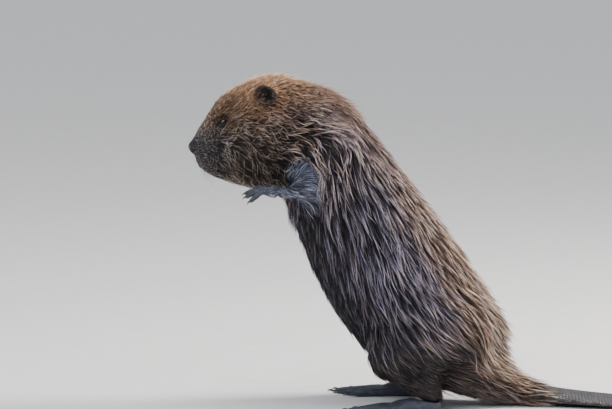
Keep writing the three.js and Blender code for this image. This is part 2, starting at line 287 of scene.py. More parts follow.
def outward(mesh):
    """Turns the faces of a closed mesh outward."""
    bm = bmesh.new()
    bm.from_mesh(mesh)
    bmesh.ops.recalc_face_normals(bm, faces=bm.faces)
    return written(bm, mesh)


def ring_quads(rings, steps):
    """Quads from each of a number of rings to the next one, with that many steps round."""
    ring, step = np.divmod(np.arange(rings * steps), steps)
    low, beside = ring * steps, (step + 1) % steps
    return np.stack([low + step, low + beside, low + steps + beside, low + steps + step], axis=1)


def split(quads):
    return quads[:, [0, 1, 2, 0, 2, 3]].reshape(-1, 3)


def closed_tube(rings, steps):
    """Triangles from ring to ring, and over both ends."""
    fan, last = np.arange(1, steps - 1), rings * steps
    ends = [(0 * fan, fan + 1, fan), (0 * fan + last, fan + last, fan + last + 1)]
    return np.vstack([split(ring_quads(rings, steps)), *(np.stack(end, axis=1) for end in ends)])


def repeated(faces, count):
    """The faces of a number of equal pieces, whose corners follow one another."""
    start = np.arange(count) * (faces.max() + 1)
    return (faces + start[:, None, None]).reshape(-1, faces.shape[1])


def rings_round(middles, sizes, first, second, steps, keel=0.0):
    """Rings of corners round the middles, drawn out along two axes, with a keel along the top."""
    angles = 2 * math.pi * np.arange(steps) / steps
    above = np.sin(angles) * (1 + keel * np.maximum(np.sin(angles), 0) ** 4)
    ring = np.outer(np.cos(angles), first) + np.outer(above, second)
    return (middles[:, None] + sizes[:, None, None] * ring).reshape(-1, 3)


LAYERS = {1: ("FLOAT", "value"), 3: ("FLOAT_VECTOR", "vector"), 4: ("FLOAT_COLOR", "color")}


def set_layer(mesh, name, values):
    """A number, vector or colour for each corner of the mesh, for its material to read."""
    values = np.asarray(values, np.float32)
    kind, key = LAYERS[values.size // len(mesh.vertices)]
    mesh.attributes.new(name, kind, "POINT").data.foreach_set(key, values.ravel())


def opaque(colours):
    return np.insert(colours, 3, 1.0, axis=1)


# ---- skin: the bulk

VOXELS = {"body": 2.7 * MM, "forepaw": 0.95 * MM, "hindfoot": 1.5 * MM}
OVERLAP = 0.3 * MM  # closes the thin cuts between the solids
# How far the skin lies inside each group's solids, in mm, and how many rounds it is smoothed.
COAT_DEPTH = {
    "head": 4.5, "neck": 9, "trunk": 10, "haunch": 8, "shank": 3.5, "upper_arm": 6,
    "forearm": 3, "forepaw": 0.2, "hindfoot": 0.2, "tail_base": 6, "tail": 0.2,
}
SMOOTHING = {
    "head": 8, "neck": 28, "trunk": 28, "haunch": 28, "shank": 10, "upper_arm": 18,
    "forearm": 8, "forepaw": 4, "hindfoot": 4, "tail_base": 14, "tail": 3,
}
SHEATH = 0.42  # share of a claw that the finger covers
FINGER_END = {"past": 2.0 * MM, "back": 1.2 * MM, "wide": 1.12}
CUFF = {"at": 0.62, "size": (0.42, 0.92, 0.80)}  # shares of the way to the lower arm and of its half size


def claw_line(node):
    """Root, tip and half width of a claw from its CAD solid."""
    co = np.array([v.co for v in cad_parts[node].data.vertices])
    middle = co.mean(axis=0)
    way = np.linalg.svd(co - middle)[2][0]
    ends = []
    for sign in (-1, 1):
        reach = (co - middle) @ way * sign
        place = middle + way * reach.max() * sign
        there = co[reach > reach.max() - 0.3 * np.ptp(reach)]
        ends.append((np.linalg.norm(there - place, axis=1).max(), place))
    (_, tip), (wide, root) = sorted(ends, key=lambda end: end[0])
    return root, tip, wide


def add_ball(bm, middle, way, half, fineness):
    """A ball drawn out along a way, with half sizes along it and across it."""
    ball = bmesh.ops.create_icosphere(bm, subdivisions=fineness, radius=1.0)["verts"]
    turn = Vector(way).to_track_quat("X", "Z").to_matrix().to_4x4()
    matrix = Matrix.Translation(middle) @ turn @ Matrix.Diagonal((*half, 1.0))
    bmesh.ops.transform(bm, matrix=matrix, verts=ball)


def finger_end(bm, node):
    """A round finger end over the first part of a claw, which the claw then grows out of."""
    root, tip, wide = claw_line(node)
    way = tip - root
    long = np.linalg.norm(way) * SHEATH / 2 + FINGER_END["past"]
    middle = root + way * SHEATH / 2 - unit(way) * FINGER_END["back"]
    add_ball(bm, middle, way, (long, wide * FINGER_END["wide"], wide), 2)


def wrist_cuff(bm, word):
    """The end of the lower arm, which carries the paw's skin on under the arm's hair."""
    paw, arm = centre(f"forepaw_{word}"), centre(f"forearm_{word}")
    inner = np.ptp(box(f"forearm_{word}"), axis=0) / 2 - COAT_DEPTH["forearm"] * MM
    half = np.array([np.linalg.norm(arm - paw), *inner[1:]]) * CUFF["size"]
    add_ball(bm, paw + (arm - paw) * CUFF["at"], arm - paw, half, 3)


def joined_flesh(part):
    """The solids of one part of the flesh, each a little larger so that they run into each other."""
    bm = bmesh.new()
    for name in FLESH:
        kind = name.split("_")[0] if name.startswith(("forepaw", "hindfoot")) else "body"
        if kind == part:
            bm.from_mesh(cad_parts[name].data)
    for name in CLAWS:
        if name[:4] == part[:4]:
            finger_end(bm, name)
    if part == "forepaw":
        for word in SIDES:
            wrist_cuff(bm, word)
    bmesh.ops.remove_doubles(bm, verts=bm.verts, dist=1e-6)
    bmesh.ops.recalc_face_normals(bm, faces=bm.faces)
    bm.normal_update()
    for vert in bm.verts:
        vert.co += vert.normal * OVERLAP
    return written(bm, bpy.data.meshes.new("flesh"))


def whole_flesh():
    """The body, the forepaws and the hind feet as one mesh, the smaller parts finer."""
    bm = bmesh.new()
    for part, voxel in VOXELS.items():
        bm.from_mesh(modified(joined_flesh(part), "REMESH", mode="VOXEL", voxel_size=voxel))
    return written(bm, bpy.data.meshes.new("skin"))


def group_weights(surface):
    """How much each corner of the skin belongs to each group, blended where groups meet."""
    co, faces, owner = [], [], []
    for index, nodes in enumerate(GROUPS.values()):
        for name in nodes:
            piece = Surface(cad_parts[name].data)
            faces.append(piece.tris + sum(map(len, co)))
            co.append(piece.co)
            owner.append(np.full(len(piece.tris), index))
    tree = BVHTree.FromPolygons(np.vstack(co).tolist(), np.vstack(faces).tolist())
    hard = np.eye(len(GROUP_NAMES))[np.concatenate(owner)[nearest_on(tree, surface.co)[1]]]
    return surface.spread(hard, 6)


def share_of(weights, *names):
    """How much each row of weights belongs to the named groups."""
    return sum(weights[:, GROUP_NAMES.index(name)] for name in names)


def by_group(weights, table):
    return weights @ np.array([table[name] for name in GROUP_NAMES], float)


def refine(mesh, rounds):
    """Cuts the mesh finer in each round near that round's places, given as (place, radius)."""
    bm = bmesh.new()
    bm.from_mesh(mesh)
    for spots in rounds:
        edges = set()
        for place, radius in spots:
            near = {v for v in bm.verts if (v.co - Vector(place)).length < radius}
            edges |= {e for v in near for e in v.link_edges if e.other_vert(v) in near}
        bmesh.ops.subdivide_edges(bm, edges=list(edges), cuts=1, use_grid_fill=True)
    bmesh.ops.triangulate(bm, faces=[f for f in bm.faces if len(f.verts) > 4])
    written(bm, mesh)


# ---- skin: the face

# Half the opening's length and height, its tilt, how thick the lid is, how far out it lies at least,
# and how far the skin in the opening lies under the eyeball's surface. As shares of the opening: where
# its edge is, and where the lid blends into the face.
LID = {
    "half": (5.9 * MM, 4.2 * MM), "tilt": 0.25, "rim": 0.7 * MM, "least": 1.5 * MM, "sunk": 2.5 * MM,
    "edge": (0.88, 1.02), "blend": (1.25, 2.5),
}
NOSTRIL = {"place": mm(3.6, 7.4, -3.0), "radius": 2.5 * MM, "depth": 4.2 * MM, "lip": 0.7 * MM}
# Swellings and lines of the muzzle, as mm back, out and up of the tip of the nose; reach and rise in mm.
WHISKER_PAD = ((15, 14, -10), 11, 1.6)
NOSE_WING = ((3, 6.5, 4), 4, 0.9)
NOSE_END = ((0, 0, 0), 9, 4.2)
CHIN = ((12, 0, -21), 10, 4.5)
MOUTH = {"half": 1.3 * MM, "depth": 2.2 * MM}
LIPS = {"off": 3 * MM, "half": 2 * MM, "rise": 0.8 * MM}
GROOVE = {"half": 0.9 * MM, "depth": 1.0 * MM, "back": 20 * MM, "from": -20 * MM, "to": 2 * MM}
MOUTH_LINE = mm((13, 0, -18), (16, 9, -21), (22, 17, -24), (31, 25, -25))
BROW = ((2, 0, 11), 9, 1.2)  # from the eye: mm along X, out and up, reach and rise in mm
CHEEK = ((10, 14, -45), 24, 2.5)
# Fuller places on the middle of the face: mm along X and up, reach and rise in mm.
FOREHEAD = [((-252, 362), 28, 4.5), ((-277, 328), 15, 3.8)]


def shape_lids(co, normals):
    """Draws the skin over the eyeball as lids that leave an almond opening."""
    for eye in EYES.values():
        from_eye = co - eye
        out = unit(normals[np.linalg.norm(from_eye, axis=1) < 9 * MM].mean(axis=0))
        level = along_surface(np.array([1.0, 0, 0]), out)
        back = level * math.cos(LID["tilt"]) + upward(np.cross(out, level)) * math.sin(LID["tilt"])
        up = unit(upward(np.cross(out, back)))
        w, u, v = from_eye @ out, from_eye @ back, from_eye @ up
        share = np.hypot(u / LID["half"][0], v / LID["half"][1])
        ball = np.sqrt(np.maximum(EYE_RADIUS**2 - np.hypot(u, v) ** 2, 0))
        lid = np.maximum(ball, LID["least"]) + LID["rim"]
        inside = 1 - smoothstep(*LID["edge"], share)
        outside = smoothstep(*LID["blend"], share)
        target = lid * (1 - inside) + (ball - LID["sunk"]) * inside
        moved = target * (1 - outside) + w * outside
        touched = (w > -6 * MM) & (share < LID["blend"][1])
        co += np.where(touched, moved - w, 0)[:, None] * out
    return co


def distance_to_line(points, line):
    """Distance of points to a line through given points."""
    best = np.full(len(points), np.inf)
    for a, b in zip(line[:-1], line[1:]):
        ab = b - a
        t = np.clip(((points - a) @ ab) / (ab @ ab), 0, 1)
        best = np.minimum(best, np.linalg.norm(points - a - t[:, None] * ab, axis=1))
    return best


def from_nose(co):
    """How far back, out to either side and up a place is from the tip of the nose."""
    return (co - NOSE_TIP) * [1, 0, 1] + np.abs(co - NOSE_TIP) * [0, 1, 0]


def nose_pad(co, margin=0.0):
    """1 on the bare end of the nose, which is broader above; a margin in mm makes it larger."""
    back, out, up = from_nose(co).T / MM
    wide = 10.5 + margin + 0.18 * np.clip(up, -10, 10)
    tall = 9.5 + margin
    edge = (np.abs(out) / wide) ** 2.6 + (np.abs(up + 1) / tall) ** 2.6
    return smoothstep(1.12, 0.92, edge) * smoothstep(14.0 + margin, 12.0 + margin, back)


def shape_muzzle(co, normals):
    """Whisker pads, nostrils, the groove under the nose and the line of the mouth."""
    folded = from_nose(co)
    back, out, up = folded.T
    gap = distance_to_line(folded, MOUTH_LINE)
    mouth = band(gap, 0, MOUTH["half"]) * MOUTH["depth"]
    lips = band(gap, LIPS["off"], LIPS["half"]) * LIPS["rise"]
    front = (back < GROOVE["back"]) & (up > GROOVE["from"]) & (up < GROOVE["to"])
    groove = band(out, 0, GROOVE["half"]) * GROOVE["depth"] * front
    rise = swollen(folded, 0, WHISKER_PAD, NOSE_WING) - mouth + lips - groove
    co = co + normals * rise[:, None]
    co[:, 0] -= swollen(folded, 0, NOSE_END, CHIN)
    hole = np.linalg.norm(from_nose(co) - NOSTRIL["place"], axis=1) / NOSTRIL["radius"]
    pit = np.exp(-(hole**4)) * NOSTRIL["depth"]
    return co + normals * (band(hole, 1.5, 0.5) * NOSTRIL["lip"] - pit)[:, None]


def shape_cheeks(co, normals):
    """Full cheeks, a rounded forehead and a low brow above each eye."""
    lift = np.zeros(len(co))
    for side, eye in EYES.items():
        lift += swollen((co - eye) * [1, side, 1], 0, BROW, CHEEK)
    for (x, up), reach, rise in FOREHEAD:
        lift += swollen(co, np.array([0, MID_Y, 0]), ((x, 0, up), reach, rise))
    return co + normals * lift[:, None]


# ---- skin: the ears

EAR = {"wide": 13.2 * MM, "tall": 11 * MM, "round": 44, "sunk": 4.5 * MM, "fold": 2.4 * MM}
EAR_HEIGHT = mm(5.2, 3.4, 2.6)  # of the rim, how much it grows to the back, and to the top
# Distance from the ear's axis as a share of its rim, and height as a share of the rim's height.
EAR_PROFILE = [
    (0.55, -0.9), (0.68, -0.35), (0.84, 0.2), (0.95, 0.62), (1.0, 0.86), (1.0, 0.97), (0.985, 1.0),
    (0.955, 0.98), (0.92, 0.86), (0.86, 0.62), (0.76, 0.35), (0.62, 0.08), (0.45, -0.2), (0.25, -0.4),
    (0.1, -0.45), (0.0, -0.45),
]
EAR_INNER = 7  # ring of the profile where the inside starts
EAR_ANGLES = np.linspace(0, 2 * math.pi, EAR["round"], endpoint=False)


def ear_axis(side):
    """The way an ear opens."""
    return unit(np.array([-0.22, side * 0.93, 0.24]))


def ear_ring(side, share, level):
    """One ring of an ear: low in front, high behind and above."""
    axis = ear_axis(side)
    up = along_surface(np.array([0.30, 0.0, 1.0]), axis)
    back = np.cross(up, axis)
    back = back if back[0] > 0 else -back
    behind, above = np.cos(EAR_ANGLES), np.sin(EAR_ANGLES)
    uneven = 1 + 0.05 * np.sin(3 * EAR_ANGLES + 0.6)
    height = np.stack([np.ones(EAR["round"]), behind, above], axis=1) @ EAR_HEIGHT * level
    return (
        EARS[side] - axis * EAR["sunk"]
        + np.outer(behind * share * EAR["wide"] * uneven, back)
        + np.outer(above * share * EAR["tall"] * uneven, up)
        + np.outer(height, axis)
    )


def ear_corners(side):
    """A round cup that opens outward and a little forward, with a fold inside it, ring by ring."""
    co = []
    for ring, (share, level) in enumerate(EAR_PROFILE):
        fold = band(np.sin(EAR_ANGLES), -0.3, 0.25) * smoothstep(0.1, 0.4, share) * (ring > EAR_INNER)
        fold = fold * EAR["fold"] * smoothstep(0.95, 0.7, share)
        co.append(ear_ring(side, share, level) + np.outer(fold, ear_axis(side)))
    return np.vstack(co)


# ---- skin: putting it together

# For each cut: mm from the tip of the nose, the reach there and the reach round the eyes in mm.
FINE_HEAD = [
    [(NOSE_TIP + mm(*at), reach * MM), *((eye, round_eye * MM) for eye in EYES.values())]
    for at, reach, round_eye in (((14, 0, -6), 38, 19), ((6, 0, -6), 26, 13))
]
UNDER_SCALES = 1.1 * MM  # room for the scales between the tail and the floor
FINGER_FLESH = 1.2 * MM  # how much fuller than their solids the fingers are
PAW_FRONT = box("forepaw_left")[0][0]


def depth_at(points, weights):
    """How deep the coat is at the points, thinner towards the nose."""
    face = share_of(weights, "head")
    thin = 0.1 + 0.9 * smoothstep(2 * MM, 70 * MM, points[:, 0] - NOSE_TIP[0])
    return by_group(weights, COAT_DEPTH) * MM * (thin * face + (1 - face))


def skin_depth(surface, weights):
    """How far the skin lies inside the CAD solids at each corner."""
    under = smoothstep(0.3, -0.6, surface.normals()[:, 2]) * share_of(weights, "trunk")
    return depth_at(surface.co, weights) * faded(surface.co, EYES, 0.8, 12) * (1 - 0.4 * under)


def build_skin():
    """The skin's mesh, and its surface with exact corners."""
    mesh = whole_flesh()
    skin = Surface(mesh)
    weights = group_weights(skin)
    depth = skin.spread(skin_depth(skin, weights), 8)
    skin.co -= unit(skin.spread(skin.normals(), 6)) * (depth + OVERLAP)[:, None]
    rounds = max(SMOOTHING.values())
    skin.co = skin.spread(skin.co, rounds, by_group(weights, SMOOTHING) / rounds)
    fingers = share_of(weights, "forepaw") * smoothstep(20 * MM, 11 * MM, skin.co[:, 0] - PAW_FRONT)
    skin.co += skin.normals() * (fingers * FINGER_FLESH)[:, None]
    mesh.vertices.foreach_set("co", skin.co.ravel())
    refine(mesh, FINE_HEAD)
    skin = Surface(mesh)
    near_face = (skin.co[:, 0] < NOSE_TIP[0] + 60 * MM)[:, None]
    skin.co += (skin.spread(skin.co, 3) - skin.co) * near_face
    for shape in (shape_cheeks, shape_muzzle, shape_lids):
        skin.co = shape(skin.co, skin.normals())
    tail = share_of(group_weights(skin), "tail")
    skin.co[:, 2] = np.maximum(skin.co[:, 2], tail * UNDER_SCALES)
    mesh.vertices.foreach_set("co", skin.co.ravel())
    mesh.polygons.foreach_set("use_smooth", np.ones(len(mesh.polygons), bool))
    mesh.update()
    return mesh, skin.settled()


SKIN_MESH, SKIN = build_skin()
SKIN_WEIGHTS = group_weights(SKIN)
add_piece("skin", SKIN_MESH, None, "body_coat", *FLESH, *pair("ear"))

# ---- the lie of the coat

# Where the hair on the side of the body points: mm along X, mm up, degrees below the tail's way,
# reach in mm.
LIE = {
    "nose_bridge": (-273, 338, -55, 20),
    "forehead": (-243, 374, -35, 24),
    "crown": (-195, 398, 5, 26),
    "nape": (-141, 392, 15, 30),
    "withers": (-105, 374, 35, 32),
    "upper_back": (-69, 338, 50, 40),
    "middle_back": (-15, 259, 57, 48),
    "lower_back": (45, 175, 57, 48),
    "rump": (87, 115, 50, 45),
    "upper_flank": (-111, 291, 75, 36),
    "flank": (-75, 232, 68, 45),
    "lower_flank": (-39, 160, 65, 45),
    "hip": (-3, 99, 58, 40),
    "chest": (-147, 232, 88, 35),
    "belly": (-129, 172, 85, 40),
    "groin": (-99, 112, 75, 40),
    "throat": (-205, 268, 60, 26),
    "behind_ear": (-159, 367, 8, 22),
    "upper_neck": (-135, 350, 28, 22),
    "rear_neck": (-105, 333, 50, 26),
    "front_neck": (-165, 316, 10, 22),
    "over_arm": (-177, 304, 2, 15),
    "past_arm": (-150, 306, 16, 16),
    "lower_neck": (-124, 300, 66, 24),
    "lip": (-272, 292, 20, 14),
    "cheek_front": (-258, 308, 15, 15),
    "under_eye": (-237, 336, -5, 14),
    "cheek": (-225, 312, 40, 15),
    "jowl": (-225, 284, 72, 18),
    "rear_cheek": (-201, 326, 28, 15),
    "jaw_corner": (-195, 298, 58, 18),
    "below_ear": (-201, 355, 18, 14),
    "haunch_low": (-3, 54, 20, 36),
    "haunch_back": (57, 66, 45, 36),
    "haunch": (33, 84, 38, 36),
    "tail_root": (90, 40, 5, 30),
}
LIE_TABLE = np.array(list(LIE.values()), float)
ARM_PATCH = mm(-162, 279)  # middle of the sleek part of the arm, along X and up
WRIST = (box("forepaw_left")[1] + centre("forearm_left")) / 2
WRISTS = {side: WRIST * [1, -side, 1] for side in SIDES.values()}
# The hair parts round eyes and ears: place, reach and strength.
PARTINGS = [(eye, 9 * MM, 1.6) for eye in EYES.values()] + [(ear, 13 * MM, 2.0) for ear in EARS.values()]


def sleek_arm(points, weights):
    """1 on the lower arm, whose hair is short and sleek, and 0 on the shoulder."""
    x = points[:, 0] - ARM_PATCH[0]
    up = points[:, 2] - ARM_PATCH[1]
    gap = np.linalg.norm(points[:, [0, 2]] - WRIST[[0, 2]], axis=1)
    arm = np.clip(share_of(weights, "upper_arm", "forearm", "forepaw") * 1.4, 0, 1)
    near = arm * smoothstep(64 * MM, 50 * MM, gap) * smoothstep(31 * MM, 9 * MM, x)
    patch = smoothstep(1.3, 0.7, np.hypot(x / (17 * MM), up / (23 * MM)))
    outer = smoothstep(34 * MM, 42 * MM, np.abs(points[:, 1] - MID_Y))
    return np.maximum(near, patch * outer * (1 - share_of(weights, "head")))


def lie_of_coat(points, normals, weights):
    """Unit vectors in the skin that the hair follows at the points."""
    gap = (points[:, None, [0, 2]] / MM - LIE_TABLE[None, :, :2]) / LIE_TABLE[None, :, 3:4]
    pull = np.exp(-0.5 * np.sum(gap**2, axis=2)) + 1e-9
    angle = np.radians(LIE_TABLE[:, 2])
    way = unit(np.stack([pull @ np.cos(angle), np.zeros(len(points)), -(pull @ np.sin(angle))], axis=1))
    way[:, 1] = np.sign(points[:, 1] - MID_Y) * 0.25 * np.clip(normals[:, 2], 0, 1)
    arm = sleek_arm(points, weights)[:, None]
    wrist = np.where(points[:, 1:2] > MID_Y, WRISTS[1], WRISTS[-1])
    way = way * (1 - arm) + unit(points - wrist + mm(8, 0, 0)) * arm
    paw = np.clip(share_of(weights, "forepaw") * 1.4, 0, 1)[:, None]
    rear = smoothstep(-9 * MM, -6 * MM, points[:, 0] - WRIST[0])[:, None]
    on_paw = np.array([-1.0, 0, -0.2]) * (1 - rear) + np.array([1.0, 0, -0.1]) * rear
    way = way * (1 - paw) + on_paw * paw
    for place, reach, push in PARTINGS:
        way = way + unit(points - place) * (push * bump(points, place, reach))[:, None]
    return along_surface(way, normals)


# ---- places on the skin

CORNERS = SKIN.co[SKIN.tris]
AREA = np.linalg.norm(np.cross(CORNERS[:, 1] - CORNERS[:, 0], CORNERS[:, 2] - CORNERS[:, 0]), axis=1) / 2
AREA_MIDDLE = CORNERS.mean(axis=1)
AREA_WEIGHTS = SKIN_WEIGHTS[SKIN.tris].mean(axis=1)


def roots_in(chance, count):
    """Random places on the skin, with the triangles they are in."""
    share = AREA * chance
    picked = RNG.choice(len(AREA), count, p=share / share.sum())
    u, v = RNG.random((2, count))
    fold = u + v > 1
    u, v = np.where(fold, 1 - u, u), np.where(fold, 1 - v, v)
    a, b, c = (CORNERS[picked, i] for i in range(3))
    return a + (b - a) * u[:, None] + (c - a) * v[:, None], picked


# ---- unwrap for the coat's patches

PATCH = 0.003  # width of a hair's patch on the unwrap


def unwrap_proxy():
    """A coarse copy of the skin, and the places of its triangles on an unwrap of its own shape."""
    mesh = modified(SKIN_MESH.copy(), "DECIMATE", ratio=0.03)
    coarse = new_object("coarse", mesh)
    bpy.ops.object.select_all(action="DESELECT")
    bpy.context.view_layer.objects.active = coarse
    coarse.select_set(True)
    bpy.ops.object.mode_set(mode="EDIT")
    bpy.ops.mesh.select_all(action="SELECT")
    bpy.ops.uv.smart_project(angle_limit=math.radians(66), island_margin=0.004)
    bpy.ops.object.mode_set(mode="OBJECT")
    surface = Surface(mesh).settled()
    uv = read(mesh.uv_layers.active.data, "uv", 2)[read(mesh.loop_triangles, "loops", 3, np.int32)]
    bpy.data.objects.remove(coarse)
    return surface, uv


PROXY, PROXY_UV = unwrap_proxy()


def dot(p, q):
    return np.sum(p * q, axis=1)


def patch_centres(roots):
    """Where each root lies on the unwrap."""
    place, _, face = PROXY.nearest(roots)
    a, b, c = (PROXY.co[PROXY.tris[face, i]] for i in range(3))
    ab, ac, ap = b - a, c - a, place - a
    scale = np.maximum(dot(ab, ab) * dot(ac, ac) - dot(ab, ac) ** 2, 1e-20)
    v = (dot(ac, ac) * dot(ap, ab) - dot(ab, ac) * dot(ap, ac)) / scale
    w = (dot(ab, ab) * dot(ap, ac) - dot(ab, ac) * dot(ap, ab)) / scale
    share = np.clip(np.stack([1 - v - w, v, w], axis=1), 0, 1)
    share /= share.sum(axis=1, keepdims=True)
    return np.einsum("ij,ijk->ik", share, PROXY_UV[face])


# ---- colours of the coat

# Root, middle and tip of the hair, as sRGB out of 255.
COAT_COLOURS = {
    "crown": ((58, 38, 27), (168, 124, 92), (240, 198, 158)),
    "nape": ((30, 20, 15), (94, 69, 54), (172, 132, 106)),
    "forehead": ((20, 14, 11), (102, 79, 65), (206, 170, 144)),
    "cheek": ((7, 6, 7), (44, 39, 37), (182, 158, 141)),
    "muzzle": ((6, 6, 7), (36, 35, 39), (182, 175, 181)),
    "neck": ((7, 6, 8), (52, 45, 49), (228, 195, 183)),
    "shoulder": ((10, 9, 11), (66, 59, 68), (203, 188, 197)),
    # pale warm tips: partly the back's own warmer hair, partly painted rim light
    "back": ((19, 13, 11), (120, 95, 86), (255, 216, 192)),
    "flank": ((5, 5, 8), (37, 36, 49), (176, 168, 188)),
    # dark partly for the wet sleek fur and partly as painted shade under the body
    "belly": ((13, 12, 14), (48, 46, 54), (112, 107, 117)),
    "rump": ((17, 12, 10), (118, 90, 78), (255, 218, 184)),
    # dark partly for the wet sleek fur and partly as painted shade low on the legs
    "haunch": ((19, 17, 18), (56, 51, 54), (112, 103, 104)),
    # bluish grey: partly the sleek hair's own grey, partly a painted bluish sheen
    "arm": ((9, 9, 13), (69, 75, 93), (180, 187, 212)),
}
# Where each colour lies: mm along X, mm up, reach in mm. Back and arm follow the shape of the body.
COLOUR_PLACES = {
    "crown": [(-200, 392, 22), (-228, 384, 18), (-170, 392, 16)],
    "nape": [(-150, 384, 15), (-126, 374, 14), (-104, 356, 14), (-82, 338, 12)],
    "forehead": [(-252, 360, 15), (-264, 344, 12)],
    "cheek": [(-228, 310, 26), (-205, 318, 22), (-225, 282, 22)],
    "muzzle": [(-276, 304, 16), (-268, 325, 9)],
    "neck": [(-140, 350, 26), (-165, 345, 18), (-150, 315, 22), (-182, 350, 14), (-174, 352, 13)],
    "shoulder": [(-112, 322, 28)],
    "flank": [(-75, 232, 48), (-40, 165, 48), (-42, 188, 26)],
    "belly": [(-140, 200, 34), (-115, 130, 36)],
    "rump": [(76, 98, 40), (100, 64, 28)],
    "haunch": [(-20, 60, 40), (30, 45, 30), (64, 34, 18)],
}
COLOUR_NAMES = list(COAT_COLOURS)


def linear(srgb):
    c = np.asarray(srgb, float) / 255
    return np.where(c <= 0.04045, c / 12.92, ((c + 0.055) / 1.055) ** 2.4)


RAMPS = linear(list(COAT_COLOURS.values()))


def covered(shares, name, amount):
    """The shares after a colour has taken over an amount of the others."""
    shares = shares * (1 - amount[:, None])
    shares[:, COLOUR_NAMES.index(name)] += amount
    return shares


def colour_shares(points, normals, weights):
    """How much each named colour has at the points."""
    x = points[:, 0] / MM + 5 * noise(points, 0.022, 5)
    z = points[:, 2] / MM + 5 * noise(points, 0.022, 6)
    shares = np.full((len(points), len(COLOUR_NAMES)), 1e-6)
    for name, places in COLOUR_PLACES.items():
        for px, pz, reach in places:
            near = np.exp(-0.5 * ((x - px) ** 2 + (z - pz) ** 2) / reach**2)
            shares[:, COLOUR_NAMES.index(name)] += near
    shares /= np.maximum(shares.sum(axis=1, keepdims=True), 0.35)
    body = np.clip(share_of(weights, "trunk", "neck"), 0, 1)
    # The back's colour goes where trunk and neck face up and to the rear, towards the rim lamp: partly its
    # own warmer hair, partly painted rim light.
    back_and_rim_lit = smoothstep(0.33, 0.88, normals[:, 0] * 0.62 + normals[:, 2] * 0.72) * body
    leg = np.clip(share_of(weights, "haunch", "shank", "hindfoot"), 0, 1)
    shares = covered(shares, "back", back_and_rim_lit * smoothstep(-125, 5, x))
    shares = covered(shares, "arm", sleek_arm(points, weights))
    # The legs take the haunch colour low down: dark wet fur, darker partly as painted shade towards the
    # floor.
    shares = covered(shares, "haunch", leg * smoothstep(120, 60, z))
    shares[:, COLOUR_NAMES.index("flank")] += np.maximum(1 - shares.sum(axis=1), 0)
    return shares / shares.sum(axis=1, keepdims=True)


def hair_colour(shares, along):
    """The colour at a share of the hair's length."""
    root, middle, tip = (shares @ RAMPS[:, i] for i in range(3))
    low = np.clip(along / 0.5, 0, 1)[..., None]
    high = np.clip((along - 0.5) / 0.5, 0, 1)[..., None]
    return root + (middle - root) * low + (tip - middle) * high


# ---- where each piece of the coat grows

AX, AY, AZ = AREA_MIDDLE.T
NORMAL_X, _, NORMAL_UP = SKIN.normal[SKIN.tris[:, 0]].T
EYE_GAP = gap_to(AREA_MIDDLE, EYES.values())
EAR_GAP = gap_to(AREA_MIDDLE, EARS.values())
WRIST_GAP = gap_to(AREA_MIDDLE, WRISTS.values())
HEAD, NECK, TRUNK, PAW = (share_of(AREA_WEIGHTS, name) for name in ("head", "neck", "trunk", "forepaw"))

face = HEAD * (nose_pad(AREA_MIDDLE) <= 0.5) * smoothstep(6.2 * MM, 8.5 * MM, EYE_GAP)
muzzle = smoothstep(34 * MM, 26 * MM, AX - NOSE_TIP[0])
top = smoothstep(338 * MM, 352 * MM, AZ)
clear_face = face * (1 - muzzle) * (EAR_GAP > 12 * MM)
behind_ear = HEAD * smoothstep(-198 * MM, -186 * MM, AX) * smoothstep(374 * MM, 362 * MM, AZ)
nape = NECK * smoothstep(0.35, 0.65, NORMAL_UP * 0.8 + NORMAL_X * 0.5) * smoothstep(-80 * MM, -110 * MM, AX)
ridge = smoothstep(0.25, 0.6, NORMAL_X * 0.6 + NORMAL_UP * 0.75)
under = smoothstep(0.2, 0.6, -NORMAL_X * 0.75 - NORMAL_UP * 0.4)
flank = TRUNK * (1 - ridge) * (1 - under)
low_rump = smoothstep(20 * MM, 60 * MM, AX) * smoothstep(200 * MM, 120 * MM, AZ)
sleek = sleek_arm(AREA_MIDDLE, AREA_WEIGHTS)
shoulder = share_of(AREA_WEIGHTS, "upper_arm") * (1 - sleek)
arm_gap = smoothstep(20 * MM, 27 * MM, np.hypot(AX - ARM_PATCH[0], AZ - ARM_PATCH[1]))
arm_clear = np.where(np.abs(AY - MID_Y) > 40 * MM, arm_gap, 1.0)
cuff = smoothstep(-10 * MM, -8 * MM, AX - WRIST[0])
paw_back = smoothstep(-0.2, 0.3, NORMAL_UP) * smoothstep(11 * MM, 17 * MM, AX - PAW_FRONT)

FLANK = dict(hairs=5, rings=3, spread=(2.1, 0.12), wave=0.15, stray=0.12, stand=(0.3, 1.0), tone=0.34,
             dark=0.66, crest_highlight=1.9)
